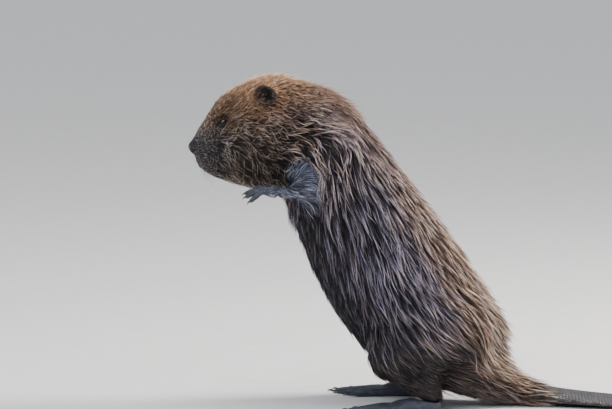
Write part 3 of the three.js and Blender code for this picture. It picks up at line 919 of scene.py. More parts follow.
# Each piece: where it grows; its locks, `apart` mm from each other, each of `hairs` hairs with `rings`
# segments; `long`, `wide` and the `spread` of a lock's hairs at root and tip in mm; how much locks wave
# and stray; how high their tips stand, as shares of the room for the coat; how much their `tone` varies;
# the share of `dark` locks, whose darkness is partly their own and partly painted shade between the light
# locks; and how much lighter the crest hairs on top of the light locks are painted, a painted highlight.
COATS = {
    "coat_flank_left": dict(FLANK, grow=flank * (AY < MID_Y), apart=2.9, long=52, wide=0.58),
    "coat_flank_right": dict(FLANK, grow=flank * (AY > MID_Y), apart=3.2, long=46, wide=0.62),
    "coat_back": dict(
        grow=TRUNK * ridge * (1 - low_rump), apart=3.6, hairs=5, rings=3, long=34, wide=0.58,
        spread=(2.0, 0.25), wave=0.20, stray=0.14, stand=(0.4, 1.15), tone=0.28, dark=0.44, crest_highlight=1.8),
    "coat_belly": dict(
        grow=TRUNK * under, apart=4.4, hairs=4, rings=3, long=20, wide=0.65,
        spread=(1.9, 0.4), wave=0.24, stray=0.10, stand=(0.15, 0.5), tone=0.18, dark=0.60, crest_highlight=1.0),
    "coat_rump": dict(
        grow=TRUNK * low_rump + share_of(AREA_WEIGHTS, "tail_base"), apart=4.1, hairs=7, rings=4, long=50,
        wide=0.66, spread=(2.7, 0.15), wave=0.20, stray=0.15, stand=(0.4, 1.2), tone=0.28, dark=0.50,
        crest_highlight=2.2),
    "coat_neck": dict(
        grow=(NECK * (1 - 0.7 * nape) + shoulder + 0.8 * behind_ear * (EAR_GAP > 11 * MM)) * arm_clear,
        apart=3.2, hairs=4, rings=5, long=32, wide=0.55, spread=(1.7, 0.12), wave=0.50, stray=0.24,
        stand=(0.3, 1.15), tone=0.38, dark=0.66, crest_highlight=2.3),
    "coat_crown": dict(
        grow=clear_face * top * (1 - 0.85 * behind_ear) + 0.9 * nape, apart=0.98, long=11.5, wide=0.50,
        wave=0.35, stray=0.32, stand=(0.9, 2.2), tone=0.46, dark=0.42, slot="head_coat"),
    "coat_cheeks": dict(
        grow=clear_face * (1 - top) * (1 - 0.8 * behind_ear), apart=1.85, hairs=3, rings=3, long=17,
        wide=0.38, spread=(1.3, 0.25), wave=0.40, stray=0.50, stand=(0.3, 1.3), tone=0.45, dark=0.58,
        crest_highlight=2.6, slot="head_coat"),
    "coat_muzzle": dict(
        grow=face * muzzle, apart=0.95, long=4.6, wide=0.62,
        wave=0.35, stray=0.32, stand=(0.6, 1.5), tone=0.95, dark=0.60, slot="head_coat"),
    "coat_haunches": dict(
        grow=share_of(AREA_WEIGHTS, "haunch"), apart=3.9, hairs=4, rings=3, long=22, wide=0.65,
        spread=(1.8, 0.4), wave=0.20, stray=0.08, stand=(0.15, 0.55), tone=0.2, dark=0.40, crest_highlight=0.9),
    "coat_arms": dict(
        grow=sleek * (1 - PAW) * (WRIST_GAP > 9 * MM), apart=1.2, rings=3, long=13, wide=0.55,
        wave=0.18, stray=0.09, stand=(0.3, 0.9), tone=0.50, dark=0.42, slot="limb_coat"),
    "coat_cuffs": dict(
        grow=PAW * cuff, apart=0.9, rings=3, long=11, wide=0.5,
        wave=0.2, stray=0.10, stand=(0.5, 1.1), tone=0.45, dark=0.4, slot="limb_coat"),
    "coat_paws": dict(
        grow=PAW * paw_back * (1 - cuff), apart=0.85, long=4.5, wide=0.36,
        wave=0.2, stray=0.12, stand=(0.8, 2.0), tone=0.4, dark=0.4, slot="limb_coat"),
    "coat_shanks": dict(
        grow=share_of(AREA_WEIGHTS, "shank"), apart=1.6, long=10, wide=0.7,
        wave=0.25, stray=0.15, stand=(0.3, 0.9), tone=0.2, dark=0.4, slot="limb_coat"),
}

# ---- the coat

FLOOR_GAP = 0.8 * MM
# How much lengths, widths and lifts vary, as shares of their usual size.
VARIED = {"length": (0.65, 1.15), "width": (0.65, 1.25), "lift": (0.8, 1.05)}
WAVES = {"long": 17 * MM, "short": 7 * MM, "share": 0.6}  # sizes of the coat's waves, share of the short ones
TAPER = ([0, 0.25, 0.6, 1], [0.75, 1.0, 0.85, 0])  # width of a hair at places along it
SECTION = {"wide": 1.15, "high": 0.7, "roll": 0.5}
MOST_ROOM = {True: 20 * MM, False: 5.5 * MM}  # for locks and for single hairs
BUNCH_SIZE = 11 * MM  # across the bunches of lighter and darker locks; the darker bunches are partly painted shade between bunches
BUNCHING = {True: 0.30, False: 0.12}
# How dark the dark locks are, which lie low among the light ones: partly their own tone, partly painted
# shade.
DARK_TONE = 0.46
UNDER_SHADE = {True: 0.52, False: 1.0}  # painted shade on every hair of a lock but its crest hairs; none on single hairs
WILD_HAIRS = {"share": 0.07, "above": 0.350, "rise": 1.6}  # hairs on top of the head that stand up
CREST_HAIRS = {4: 2, 5: 2, 7: 2}  # of how many hairs in a light lock two, not one, are crest hairs with a painted highlight
CREST_WIDTH = 0.68
CREST_LIFT = 0.7 * MM
ROOT_SUNK = 0.3 * MM  # how far a hair starts inside the skin
WARMTH = np.array([0.06, 0, -0.10])  # how much the locks' red and blue vary
# The wet fringe over the rump: its middle as mm along X and up, its reach and how far tips stand off.
FRINGE = {"at": (67, 118), "reach": 40, "off": 20 * MM}


def lock_roots(grow, apart):
    """Places on the skin that lie about evenly apart where the hair grows."""
    wanted = int((AREA * grow).sum() / (apart * MM) ** 2 * 3)
    roots, picked = roots_in(grow, wanted)
    tree = KDTree(len(roots))
    for i, p in enumerate(roots.tolist()):
        tree.insert(p, i)
    tree.balance()
    taken = np.zeros(len(roots), bool)
    kept = []
    for i in range(len(roots)):
        if not taken[i]:
            kept.append(i)
            for _, j, _ in tree.find_range(roots[i], apart * MM * 0.84):
                taken[j] = True
    return roots[kept], picked[kept]


def lock_paths(roots, faces, normals, rings, lengths, wave, stray):
    """Points along the middle of each lock, with the skin's normal and the lock's way at each."""
    weights = AREA_WEIGHTS[faces]
    offset = RNG.normal(0, stray, len(roots))
    place, normal = roots, normals
    places, ups, ways = [place], [normal], []
    for _ in range(rings):
        waves = noise(place, WAVES["long"], 1) + WAVES["share"] * noise(place, WAVES["short"], 2)
        way = turned(lie_of_coat(place, normal, weights), normal, wave * waves + offset)
        place, normal, _ = SKIN.nearest(place + way * (lengths / rings)[:, None])
        places.append(place)
        ups.append(normal)
        ways.append(way)
    return np.stack(places, 1), np.stack(ups, 1), np.stack([*ways, way], 1)


def strand_mesh(name, paths, ups, ways, widths, centres):
    """Closed three-sided hairs that taper to a point, each with its own small patch on the unwrap."""
    count, steps = paths.shape[:2]
    rings = steps - 1
    side = unit(np.cross(ups, ways))
    roll = RNG.normal(0, SECTION["roll"], (count, 1, 1))
    up = unit(np.cross(ways, side))
    side, up = side * np.cos(roll) + up * np.sin(roll), up * np.cos(roll) - side * np.sin(roll)
    t = np.linspace(0, 1, steps)
    half = widths[:, None] * np.interp(t, *TAPER) / 2
    corners = []
    for angle in np.radians((90, 210, 330)):
        across = side * (half * math.cos(angle) * SECTION["wide"])[..., None]
        above = up * (half * math.sin(angle) * SECTION["high"])[..., None]
        corners.append(paths + across + above)
    body = np.stack(corners, axis=2)[:, :rings]
    co = np.concatenate([body.reshape(count, rings * 3, 3), paths[:, -1:]], axis=1)
    tip = rings * 3
    point = [(tip - 3 + i, tip - 3 + (i + 1) % 3, tip) for i in range(3)]
    faces = repeated(np.vstack([[(0, 2, 1)], split(ring_quads(rings - 1, 3)), point]), count)
    mesh = mesh_of(name, co.reshape(-1, 3), faces)
    along = np.append(np.repeat(t[:rings], 3), 1.0)
    local = np.stack([np.append(np.tile([0.0, 0.5, 1.0], rings), 0.5), along], axis=1) - 0.5
    uv = (centres[:, None, :] + local * PATCH).reshape(-1, 2)
    layer = mesh.uv_layers.new(name="OFBake")
    layer.data.foreach_set("uv", np.clip(uv, 0, 1)[faces.ravel()].astype(np.float32).ravel())
    return mesh, along


def add_hairs(name, mesh, colour, along, slot):
    """Gives each corner of the hairs its colour and place along the hair, and adds the piece."""
    level = np.broadcast_to(along[:, None], (*colour.shape[:2], 1))
    set_layer(mesh, "hair", np.concatenate([np.clip(colour, 0, 1), level], axis=2))
    add_piece(name, mesh, COAT_MATERIAL, slot)


def shortened(roots, tuft):
    """Locks are shorter on top of the neck, single hairs longer there; all are shorter round the eyes."""
    x, z = roots[:, 0] / MM, roots[:, 2] / MM
    top_of_neck = smoothstep(355, 380, z) * smoothstep(-110, -135, x) * (x > -190)
    share = 1 - 0.5 * top_of_neck if tuft else 1 + 0.7 * smoothstep(-180, -150, x)
    share = share * faded(roots, EYES, 0.45, 12) * faded(roots, EARS, 0.5, 12, (-8, 0, -4))
    return share * faded(roots, {"nose": NOSE_TIP}, 0.4, 14)


def shaded(roots):
    """Darker round the eyes, and in front of and behind the ears."""
    shade = faded(roots, EYES, 0.62, 10.5, (-1, 0, -1)) * faded(roots, EARS, 0.5, 12, (-4, 0, -3))
    return shade * faded(roots, EARS, 0.5, 17, (28, 0, -22))


def fringe_lift(roots, normals):
    """How far the tips of the locks over the rump stand away from the body."""
    gap = np.linalg.norm(roots[:, [0, 2]] / MM - FRINGE["at"], axis=1)
    return FRINGE["off"] * band(gap, 0, FRINGE["reach"]) * smoothstep(0.05, 0.6, normals[:, 0])


def lock_heights(roots, picked, is_dark, stand, tuft):
    """How far the tips of the locks stand off the skin."""
    locks, (low, high) = len(roots), stand
    room = np.maximum(depth_at(roots, AREA_WEIGHTS[picked]), 0.5 * MM)
    flat = RNG.uniform(low * 0.5, high * 0.6, locks)
    height = np.minimum(room, MOST_ROOM[tuft]) * np.where(is_dark, flat, RNG.uniform(low, high, locks))
    wild = (RNG.random(locks) < WILD_HAIRS["share"]) & (not tuft) & (roots[:, 2] > WILD_HAIRS["above"])
    return height * np.where(wild, WILD_HAIRS["rise"], 1.0)


def parted(paths, ups, ways, height, off, first, spread):
    """The paths of the single hairs of the locks; the first ones of a lock lie on top of the others."""
    count, steps = paths.shape[:2]
    t = np.linspace(0, 1, steps)[None, :]
    out = RNG.normal(0, 1, (count, 1)) * (spread[0] * (1 - t) ** 1.3 + spread[1] * t) * MM
    back = RNG.uniform(-0.5, 0.5, (count, 1)) * spread[0] * 2 * MM * (1 - t)
    rise = 0.12 + 0.88 * t ** np.where(first, 0.5, 0.8)
    lift = height[:, None] * rise * RNG.uniform(*VARIED["lift"], (count, 1)) - ROOT_SUNK * (t == 0)
    lift = lift + first * CREST_LIFT * t + off[:, None] * t**1.4
    out = np.where(first, out * 0.6, out)
    sides = unit(np.cross(ups, ways))
    hairs = paths + sides * out[..., None] + ways * back[..., None] + ups * lift[..., None]
    hairs[..., 2] = np.maximum(hairs[..., 2], FLOOR_GAP)
    return hairs


def make_coat(name, grow, apart, long, wide, wave, stray, stand, tone, dark,
              hairs=1, rings=2, spread=(0, 0), crest_highlight=2.0, slot="body_coat"):
    """One piece of the coat."""
    tuft = hairs > 1
    roots, picked = lock_roots(grow, apart)
    locks = len(roots)
    places, normals, faces = SKIN.nearest(roots)
    lengths = long * MM * RNG.uniform(*VARIED["length"], locks) * shortened(roots, tuft)
    paths, ups, ways = lock_paths(places, faces, normals, rings, lengths, wave, stray)
    bunch = noise(roots, BUNCH_SIZE, 9) * BUNCHING[tuft]
    is_dark = RNG.random(locks) < dark + bunch
    lock_tone = np.where(is_dark, DARK_TONE, 1.0) * np.exp(RNG.normal(0, tone, locks) - bunch)
    height = lock_heights(roots, picked, is_dark, stand, tuft)

    every = np.repeat(np.arange(locks), hairs)
    count = len(every)
    first = (np.arange(count) % hairs < CREST_HAIRS.get(hairs, 1)) & tuft
    ups, ways, off = ups[every], ways[every], fringe_lift(roots, normals)[every]
    hair = parted(paths[every], ups, ways, height[every], off, first[:, None], spread)
    widths = wide * MM * RNG.uniform(*VARIED["width"], count) * np.where(first, CREST_WIDTH, 1.0)
    mesh, along = strand_mesh(name, hair, ups, ways, widths, patch_centres(roots)[every])

    # Painted light: the crest hairs on top of the light locks are painted lighter as a highlight that reaches
    # the tip colour sooner and is weaker on belly and haunch; the other hairs of a lock are painted darker as
    # shade.
    crest = first & ~is_dark[every]
    shares = colour_shares(roots, normals, AREA_WEIGHTS[picked])
    dull = shares[:, COLOUR_NAMES.index("belly")] + shares[:, COLOUR_NAMES.index("haunch")]
    painted_highlight = 1 + (crest_highlight - 1) * (1 - 0.6 * dull)[every]
    tones = (lock_tone * shaded(roots))[every] * np.exp(RNG.normal(0, tone * 0.5, count))
    tones = tones * np.where(crest, painted_highlight, UNDER_SHADE[tuft])
    reach = np.where(crest[:, None], along**0.65, along)
    warmth = np.exp(RNG.normal(0, 1, locks)[every, None, None] * WARMTH)
    colour = hair_colour(shares[every][:, None, :], reach) * tones[:, None, None] * warmth
    add_hairs(name, mesh, colour, along, slot)


# ---- materials


class Nodes:
    """A material's node tree, with short ways to add to it."""

    def __init__(self, name, **settings):
        self.material = bpy.data.materials.new(name)
        self.material.use_nodes = True
        self.tree = self.material.node_tree
        self.shader = self.tree.nodes["Principled BSDF"]
        for key, value in settings.items():
            self.shader.inputs[key.replace("_", " ")].default_value = value

    def add(self, kind, inputs, **settings):
        """A node with its settings made and its inputs linked or set, by name or number."""
        node = self.tree.nodes.new(kind)
        for key, value in settings.items():
            setattr(node, key, value)
        for key, value in inputs.items():
            if isinstance(value, bpy.types.NodeSocket):
                self.tree.links.new(value, node.inputs[key])
            else:
                node.inputs[key].default_value = value
        return node.outputs

    def place(self):
        return self.add("ShaderNodeTexCoord", {})["Object"]

    def attribute(self, name):
        return self.add("ShaderNodeAttribute", {}, attribute_name=name)

    def noise(self, scale, detail=3.0, roughness=0.5, vector=None):
        inputs = {"Scale": scale, "Detail": detail, "Roughness": roughness, "Vector": vector or self.place()}
        return self.add("ShaderNodeTexNoise", inputs)["Fac"]

    def ramp(self, factor, *stops):
        """Colours or grey levels at places along the factor."""
        outputs = self.add("ShaderNodeValToRGB", {"Fac": factor})
        elements = self.tree.nodes[-1].color_ramp.elements
        while len(elements) < len(stops):
            elements.new(0.5)
        for element, (place, colour) in zip(elements, stops):
            element.position = place
            element.color = (*np.broadcast_to(colour, 3), 1)
        return outputs["Color"]

    def blotchy(self, factor, low, high):
        """One colour or grey level in the noise's hollows and another on its tops."""
        return self.ramp(factor, (0.3, low), (0.7, high))

    def mix(self, kind, share, a, b):
        """A blend of two colours, which are inputs 6 and 7 and output 2 of the node."""
        inputs = {"Factor": share, 6: a, 7: b}
        return self.add("ShaderNodeMix", inputs, data_type="RGBA", blend_type=kind)[2]

    def times(self, a, b, share=1.0):
        return self.mix("MULTIPLY", share, a, b)

    def math(self, kind, a, b):
        return self.add("ShaderNodeMath", {0: a, 1: b}, operation=kind)[0]

    def lie_space(self, along, across):
        """Coordinates that run along the lie of the hair and across it, at two scales."""
        place = self.place()
        axes = {}
        for index, (name, scale) in enumerate((("lie", along), ("across", across))):
            inputs = {0: place, 1: self.attribute(name)["Vector"]}
            reach = self.add("ShaderNodeVectorMath", inputs, operation="DOT_PRODUCT")["Value"]
            axes[index] = self.math("MULTIPLY", reach, scale)
        return self.add("ShaderNodeCombineXYZ", axes)[0]

    def finish(self, colour, rough=None, height=None, strength=0.0, distance=0.0):
        """Links colour, roughness and relief to the shader, and gives the material."""
        into = {"Base Color": colour, "Roughness": rough}
        if height:
            inputs = {"Strength": strength, "Distance": distance, "Height": height}
            into["Normal"] = self.add("ShaderNodeBump", inputs)["Normal"]
        for key, value in into.items():
            if value:
                self.tree.links.new(value, self.shader.inputs[key])
        return self.material


def coat_material():
    """Damp hair: the colour each hair was given, mottled, and glossier near its tip."""
    n = Nodes("hair", Specular_IOR_Level=0.22)
    hair = n.attribute("hair")
    mottle = n.blotchy(n.noise(700.0, 2.0), (0.78, 0.78, 0.80), (1.16, 1.14, 1.1))
    patches = n.ramp(n.noise(45.0), (0.35, (0.88, 0.88, 0.90)), (0.7, (1.1, 1.08, 1.04)))
    rough = n.ramp(hair["Alpha"], (0.0, 0.62), (1.0, 0.4))
    return n.finish(n.times(n.times(hair["Color"], mottle), patches), rough)


def skin_material():
    """Under the coat dark fine fur; bare and creased on the feet, tail and nose."""
    n = Nodes("hide", Specular_IOR_Level=0.35)
    parts = n.add("ShaderNodeSeparateColor", {"Color": n.attribute("parts")["Color"]})
    foot, tail, nose = (parts[i] for i in range(3))
    streaks = n.noise(1.0, 3.0, 0.6, n.lie_space(110.0, 1100.0))
    fur = n.times(n.attribute("hide")["Color"], n.blotchy(streaks, 0.7, 1.25))
    cells = {"Scale": 800.0, "Vector": n.place()}
    edges = n.add("ShaderNodeTexVoronoi", cells, feature="DISTANCE_TO_EDGE")["Distance"]
    crease = n.ramp(edges, (0.0, 0.0), (0.12, 1.0))
    blotch = n.noise(120.0, 4.0, 0.6)
    # The bare feet are dark grey tinted blue as painted cool light, and darker along the crease lines as
    # painted shade; the nose is also darker along its creases as painted shade.
    foot_colour = n.times(n.blotchy(blotch, (0.022, 0.026, 0.037), (0.063, 0.073, 0.101)), crease, 0.45)
    tail_colour = n.blotchy(blotch, (0.014, 0.014, 0.017), (0.040, 0.040, 0.046))
    nose_colour = n.times(n.blotchy(blotch, (0.006, 0.006, 0.007), (0.022, 0.020, 0.023)), crease, 0.5)
    colour = n.mix("MIX", foot, fur, foot_colour)
    colour = n.mix("MIX", tail, colour, tail_colour)
    colour = n.mix("MIX", nose, colour, nose_colour)
    bare = n.math("MAXIMUM", n.math("MAXIMUM", foot, nose), tail)
    dry = n.math("SUBTRACT", n.blotchy(streaks, 0.75, 0.6), n.math("MULTIPLY", bare, 0.28))
    rough = n.math("SUBTRACT", dry, n.math("MULTIPLY", nose, 0.28))
    creased = n.math("MULTIPLY", n.math("MULTIPLY", crease, bare), 0.8)
    height = n.math("ADD", n.math("MULTIPLY", streaks, 0.5), creased)
    return n.finish(colour, rough, height, 0.6, 0.0004)


def eye_material():
    """A dark wet eye: a deep brown iris round a black pupil under a clear coat."""
    n = Nodes("eye", Roughness=0.06, Specular_IOR_Level=0.28, Coat_Weight=0.25, Coat_Roughness=0.02, IOR=1.38)
    iris = n.blotchy(n.noise(1500.0, 3.0, 0.7), (0.006, 0.0035, 0.002), (0.022, 0.012, 0.007))
    stops = (0.0, 0.0015), (0.30, 0.0015), (0.36, 1.0), (0.8, 0.8), (0.95, 0.25)
    return n.finish(n.times(iris, n.ramp(n.attribute("ring")["Fac"], *stops)))


def claw_material():
    """Horn: dark grey-brown at the base, paler and finely ridged to the tip."""
    n = Nodes("horn")
    grain = n.noise(1400.0, 3.0, 0.6)
    stops = (0.0, (0.030, 0.024, 0.022)), (0.6, (0.060, 0.048, 0.040)), (1.0, (0.17, 0.14, 0.11))
    colour = n.times(n.ramp(n.attribute("along")["Fac"], *stops), n.blotchy(grain, 0.75, 1.2))
    return n.finish(colour, n.blotchy(grain, 0.28, 0.42), grain, 0.3, 0.0002)


def scale_material():
    """Leathery grey-black scales, a little paler along their edges."""
    n = Nodes("scales")
    blotch = n.noise(160.0, 4.0, 0.6)
    edge = n.ramp(n.attribute("along")["Fac"], (0.0, 0.7), (0.8, 1.0), (1.0, 1.5))
    colour = n.times(n.blotchy(blotch, (0.018, 0.018, 0.021), (0.052, 0.050, 0.055)), edge)
    return n.finish(colour, n.blotchy(blotch, 0.38, 0.58), n.noise(900.0, 3.0, 0.6), 0.35, 0.0003)


def whisker_material():
    """Dark at the root and pale at the tip."""
    n = Nodes("whisker", Roughness=0.35)
    shade = n.ramp(n.attribute("along")["Fac"], (0.0, (0.02, 0.016, 0.014)), (1.0, (0.20, 0.17, 0.15)))
    return n.finish(n.times(shade, n.blotchy(n.noise(300.0), 0.8, 1.2)))


def floor_material():
    n = Nodes("floor", Roughness=0.7)
    return n.finish(n.blotchy(n.noise(30.0), 0.70, (0.74, 0.74, 0.735)))


COAT_MATERIAL = coat_material()

# ---- skin and coat


SKIN_SHADE = 0.16  # how far along the hair the skin's colour is taken


def dress_skin():
    """Colour, bare parts and the lie of the hair at each corner of the skin."""
    co = SKIN.co
    shares = colour_shares(co, SKIN.normal, SKIN_WEIGHTS)
    base = hair_colour(shares, np.full(len(co), SKIN_SHADE))
    round_eyes = 0.22 + 0.78 * smoothstep(6.5 * MM, 11 * MM, gap_to(co, EYES.values()))
    foot, tail = share_of(SKIN_WEIGHTS, "forepaw", "hindfoot"), share_of(SKIN_WEIGHTS, "tail")
    parts = np.stack([smoothstep(0.3, 0.7, foot), smoothstep(0.3, 0.7, tail), nose_pad(co, 1.0)], 1)
    lie = lie_of_coat(co, SKIN.normal, SKIN_WEIGHTS)
    set_layer(SKIN_MESH, "hide", opaque(base * round_eyes[:, None]))
    set_layer(SKIN_MESH, "parts", opaque(parts))
    set_layer(SKIN_MESH, "lie", lie)
    set_layer(SKIN_MESH, "across", np.cross(SKIN.normal, lie))
    SKIN_MESH.materials.append(skin_material())


dress_skin()
for name, made in COATS.items():
    make_coat(name, **made)

# ---- ears

# Rings of the profile, and the colour there as sRGB out of 255: near black inside the cup, as painted shade
# in its hollow.
EAR_COLOURS = {0: (52, 40, 34), 5: (64, 50, 44), 6.5: (72, 62, 58), 9: (22, 19, 20), 15: (7, 6, 7)}
EAR_HAIRS = 1500
EAR_FUR = {"forehead": 0.45, "cheek": 0.55}  # shares of the coat's colours


def make_ear(word, side):
    co = ear_corners(side)
    mesh = outward(mesh_of(f"ear_{word}", co, ring_quads(len(EAR_PROFILE) - 1, EAR["round"])))
    level = np.repeat(np.arange(len(EAR_PROFILE)), EAR["round"])
    stops = linear(list(EAR_COLOURS.values()))
    shades = np.stack([np.interp(level, list(EAR_COLOURS), column) for column in stops.T], axis=1)
    set_layer(mesh, "hide", opaque(shades))
    set_layer(mesh, "parts", opaque(np.zeros((len(co), 3))))
    add_piece(f"ear_{word}_cup", mesh, SKIN_MESH.materials[0], "head_coat")


def on_ear(grid, level, angle):
    """Places on an ear's rings, between whose corners they are blended."""
    level = np.clip(level, 0, len(EAR_PROFILE) - 1.001)
    low = level.astype(int)
    spot = angle / (2 * math.pi) * EAR["round"]
    first = spot.astype(int) % EAR["round"]
    second = (first + 1) % EAR["round"]
    share, slide = (level - low)[:, None], (spot - np.floor(spot))[:, None]
    near = grid[low, first] * (1 - slide) + grid[low, second] * slide
    far = grid[low + 1, first] * (1 - slide) + grid[low + 1, second] * slide
    return near + (far - near) * share


def make_ear_fur(word, side):
    """Short hair over the back of an ear and along its rim."""
    angles = RNG.uniform(0, 2 * math.pi, EAR_HAIRS)
    levels = RNG.uniform(1.2, EAR_INNER - 1.2, EAR_HAIRS)
    grid = np.stack([ear_ring(side, share, height) for share, height in EAR_PROFILE])
    root = on_ear(grid, levels, angles)
    way = unit(on_ear(grid, levels + 0.2, angles) - root)
    up = unit(np.cross(way, on_ear(grid, levels, (angles + 0.05) % (2 * math.pi)) - root))
    outside = root - (EARS[side] - ear_axis(side) * 8 * MM)
    up *= np.sign(dot(up, outside))[:, None]
    on_rim = levels > 5.5
    way = np.where(on_rim[:, None], unit(ear_axis(side) + 0.5 * unit(outside)), way)
    way = unit(way + RNG.normal(0, 0.3, (EAR_HAIRS, 3)) + up * 0.15 + np.array([0.35, 0, 0]))
    lengths = RNG.uniform(2.5, 6.0, EAR_HAIRS) * MM * np.where(on_rim, 0.6, 1.0)
    t = np.array([0, 0.5, 1])
    paths = root[:, None] + way[:, None] * (lengths[:, None] * t)[..., None]
    paths[:, 0] -= up * 0.2 * MM
    ups, ways = (np.repeat(v[:, None], len(t), axis=1) for v in (up, way))
    widths = RNG.uniform(0.3, 0.55, EAR_HAIRS) * MM
    mesh, along = strand_mesh(f"ear_{word}_fur", paths, ups, ways, widths, patch_centres(root))
    share = np.array([EAR_FUR.get(name, 0) for name in COLOUR_NAMES])
    tone = np.exp(RNG.normal(-0.35, 0.35, EAR_HAIRS))[:, None, None]
    add_hairs(f"ear_{word}_fur", mesh, hair_colour(share, along) * tone, along, "head_coat")


for word, side in SIDES.items():
    make_ear(word, side)
    make_ear_fur(word, side)

# ---- eyes

EYE_MATERIAL = eye_material()
EYE = {"rings": 24, "steps": 36, "bulge": 0.06, "bulge_reach": 0.55, "iris_reach": 1.2}  # reaches in radians


def make_eye(word, side):
    """A ball with a clear bulge in front, its poles on the line of sight."""
    axis = unit(np.array([-0.35, side * 1.0, 0.12]))
    angles = math.pi * shares_to(EYE["rings"])
    radius = EYE_RADIUS * (1 + EYE["bulge"] * band(angles, 0, EYE["bulge_reach"]))
    middles = EYES[side] + np.outer(radius * np.cos(angles), axis)
    co = rings_round(middles, radius * np.sin(angles), *axes_round(axis), EYE["steps"])
    mesh = outward(mesh_of(f"eyeball_{word}", co, ring_quads(EYE["rings"], EYE["steps"])))
    set_layer(mesh, "ring", np.repeat(np.clip(angles / EYE["iris_reach"], 0, 1), EYE["steps"]))
    add_piece(f"eyeball_{word}", mesh, EYE_MATERIAL, "eyeball", f"eye_{word}")


for word, side in SIDES.items():
    make_eye(word, side)

# ---- claws

CLAW_MATERIAL = claw_material()
CLAW = {"rings": 10, "steps": 12, "wide": 0.72, "arch": 0.16, "keel": 0.15, "end": 0.08 * MM}


def claw_corners(node):
    """Rings of corners of a claw that is arched, pointed and keeled, from inside the finger on."""
    root, tip, wide = claw_line(node)
    way = (tip - root) * (1 - SHEATH + 0.1)
    length = np.linalg.norm(way)
    way = way / length
    side, down = axes_round(way)
    t = shares_to(CLAW["rings"])
    along = (length + 1.0 * MM) * t - length - 1.0 * MM
    middles = tip + np.outer(along, way) - np.outer(length * CLAW["arch"] * np.sin(math.pi * t), down)
    sizes = wide * CLAW["wide"] * (1 - t**1.8) * 0.9 + CLAW["end"]
    return rings_round(middles, sizes, side * 0.72, down * -0.9, CLAW["steps"], CLAW["keel"])


def make_claws(word, kind):
    nodes = [name for name in CLAWS if name.startswith(f"{kind}_{word}")]
    co = np.vstack([claw_corners(node) for node in nodes])
    faces = repeated(ring_quads(CLAW["rings"], CLAW["steps"]), len(nodes))
    mesh = outward(mesh_of(f"{kind}s_{word}", co, faces))
    set_layer(mesh, "along", np.tile(np.repeat(shares_to(CLAW["rings"]), CLAW["steps"]), len(nodes)))
    add_piece(f"{kind}s_{word}", mesh, CLAW_MATERIAL, "claw", *nodes)


for word in SIDES:
    for kind in ("foreclaw", "hindclaw"):
        make_claws(word, kind)

# ---- tail scales

SCALE = {"long": 5.0 * MM, "wide": 4.4 * MM, "thick": 0.7 * MM, "rows": 0.78, "columns": 1.02}
# A scale's outline, along and across it as shares of its size.
OUTLINE = np.array([(-0.5, 0.0), (-0.28, 0.5), (0.28, 0.5), (0.56, 0.0), (0.28, -0.5), (-0.28, -0.5)])
# Height as a share of the thickness, share of the outline, and the number that the material reads.
SCALE_RINGS = [(-0.6, 1.0, 0.0), (0.35, 1.0, 1.0), (1.0, 0.62, 0.6)]


def places_along(start, end, step):
    while start < end:
        yield start
        start += step


def scale_corners(hit, normal):
    """A scale on the skin, raised at its rear end."""
    up = np.array(normal)
    back = along_surface(np.array([1.0, 0, 0]), up)
    side = np.cross(up, back)
    size = RNG.uniform(0.88, 1.05) * (0.6 + 0.4 * smoothstep(0.5, 0.9, abs(normal.z)))
    co = []
    for lift, share, _ in SCALE_RINGS:
        u, v = (OUTLINE * share).T
        rise = (lift + 0.5 * u * (lift > 0)) * SCALE["thick"]
        flat = np.outer(u * SCALE["long"] * size, back) + np.outer(v * SCALE["wide"] * size, side)
        co.append(np.array(hit) + flat + np.outer(rise, up))
    return np.vstack(co)


def make_scales():
    """Overlapping six-sided scales in staggered rows on both faces of the tail."""
    low, high = box("tail_paddle")
    co = []
    for row, x in enumerate(places_along(low[0] + 2 * MM, high[0] - 1 * MM, SCALE["long"] * SCALE["rows"])):
        start = low[1] + (row % 2) * SCALE["wide"] / 2
        for y in places_along(start, high[1], SCALE["wide"] * SCALE["columns"]):
            for z, down in ((high[2] + 0.05, -1.0), (low[2] - 0.05, 1.0)):
                hit, normal, _, _ = SKIN.tree.ray_cast(Vector((x, y, z)), Vector((0, 0, down)))
                if hit is None or abs(normal.z) < 0.5 or hit.x < low[0]:
                    continue
                co.append(scale_corners(hit, normal if normal.z * down < 0 else -normal))
    faces = repeated(closed_tube(len(SCALE_RINGS) - 1, len(OUTLINE)), len(co))
    mesh = outward(mesh_of("tail_scales", np.vstack(co), faces, smooth=False))
    along = np.repeat([level for _, _, level in SCALE_RINGS], len(OUTLINE))
    set_layer(mesh, "along", np.tile(along, len(co)))
    add_piece("tail_scales", mesh, scale_material(), "tail_scales")


make_scales()

# ---- whiskers

WHISKER_MATERIAL = whisker_material()
WHISKERS = {"rows": 4, "each": 5, "long": (14, 34), "thick": 0.32 * MM, "rings": 8, "steps": 5}


def whisker_corners(row, i, side):
    """Rings of corners of one whisker, which hangs and thins towards its tip."""
    out = side * (11 + 1.5 * i)
    aim = NOSE_TIP + mm(13 + i * 3.2 + row, out, -3 - row * 3.4 - i * 0.6) + RNG.normal(0, 0.6, 3) * MM
    (root,), (up,), _ = SKIN.nearest(aim[None])
    way = unit(up * 0.75 + np.array([0.75, side * 0.3, -0.28 - 0.08 * row]))
    length = RNG.uniform(*WHISKERS["long"]) * MM * (0.7 + 0.08 * i)
    t = shares_to(WHISKERS["rings"])
    middles = root - up * 0.5 * MM + np.outer(length * t, way) + np.outer(length * t * t / 2, [0.25, 0, -0.5])
    return rings_round(middles, WHISKERS["thick"] / 2 * (1 - 0.85 * t), *axes_round(way), WHISKERS["steps"])


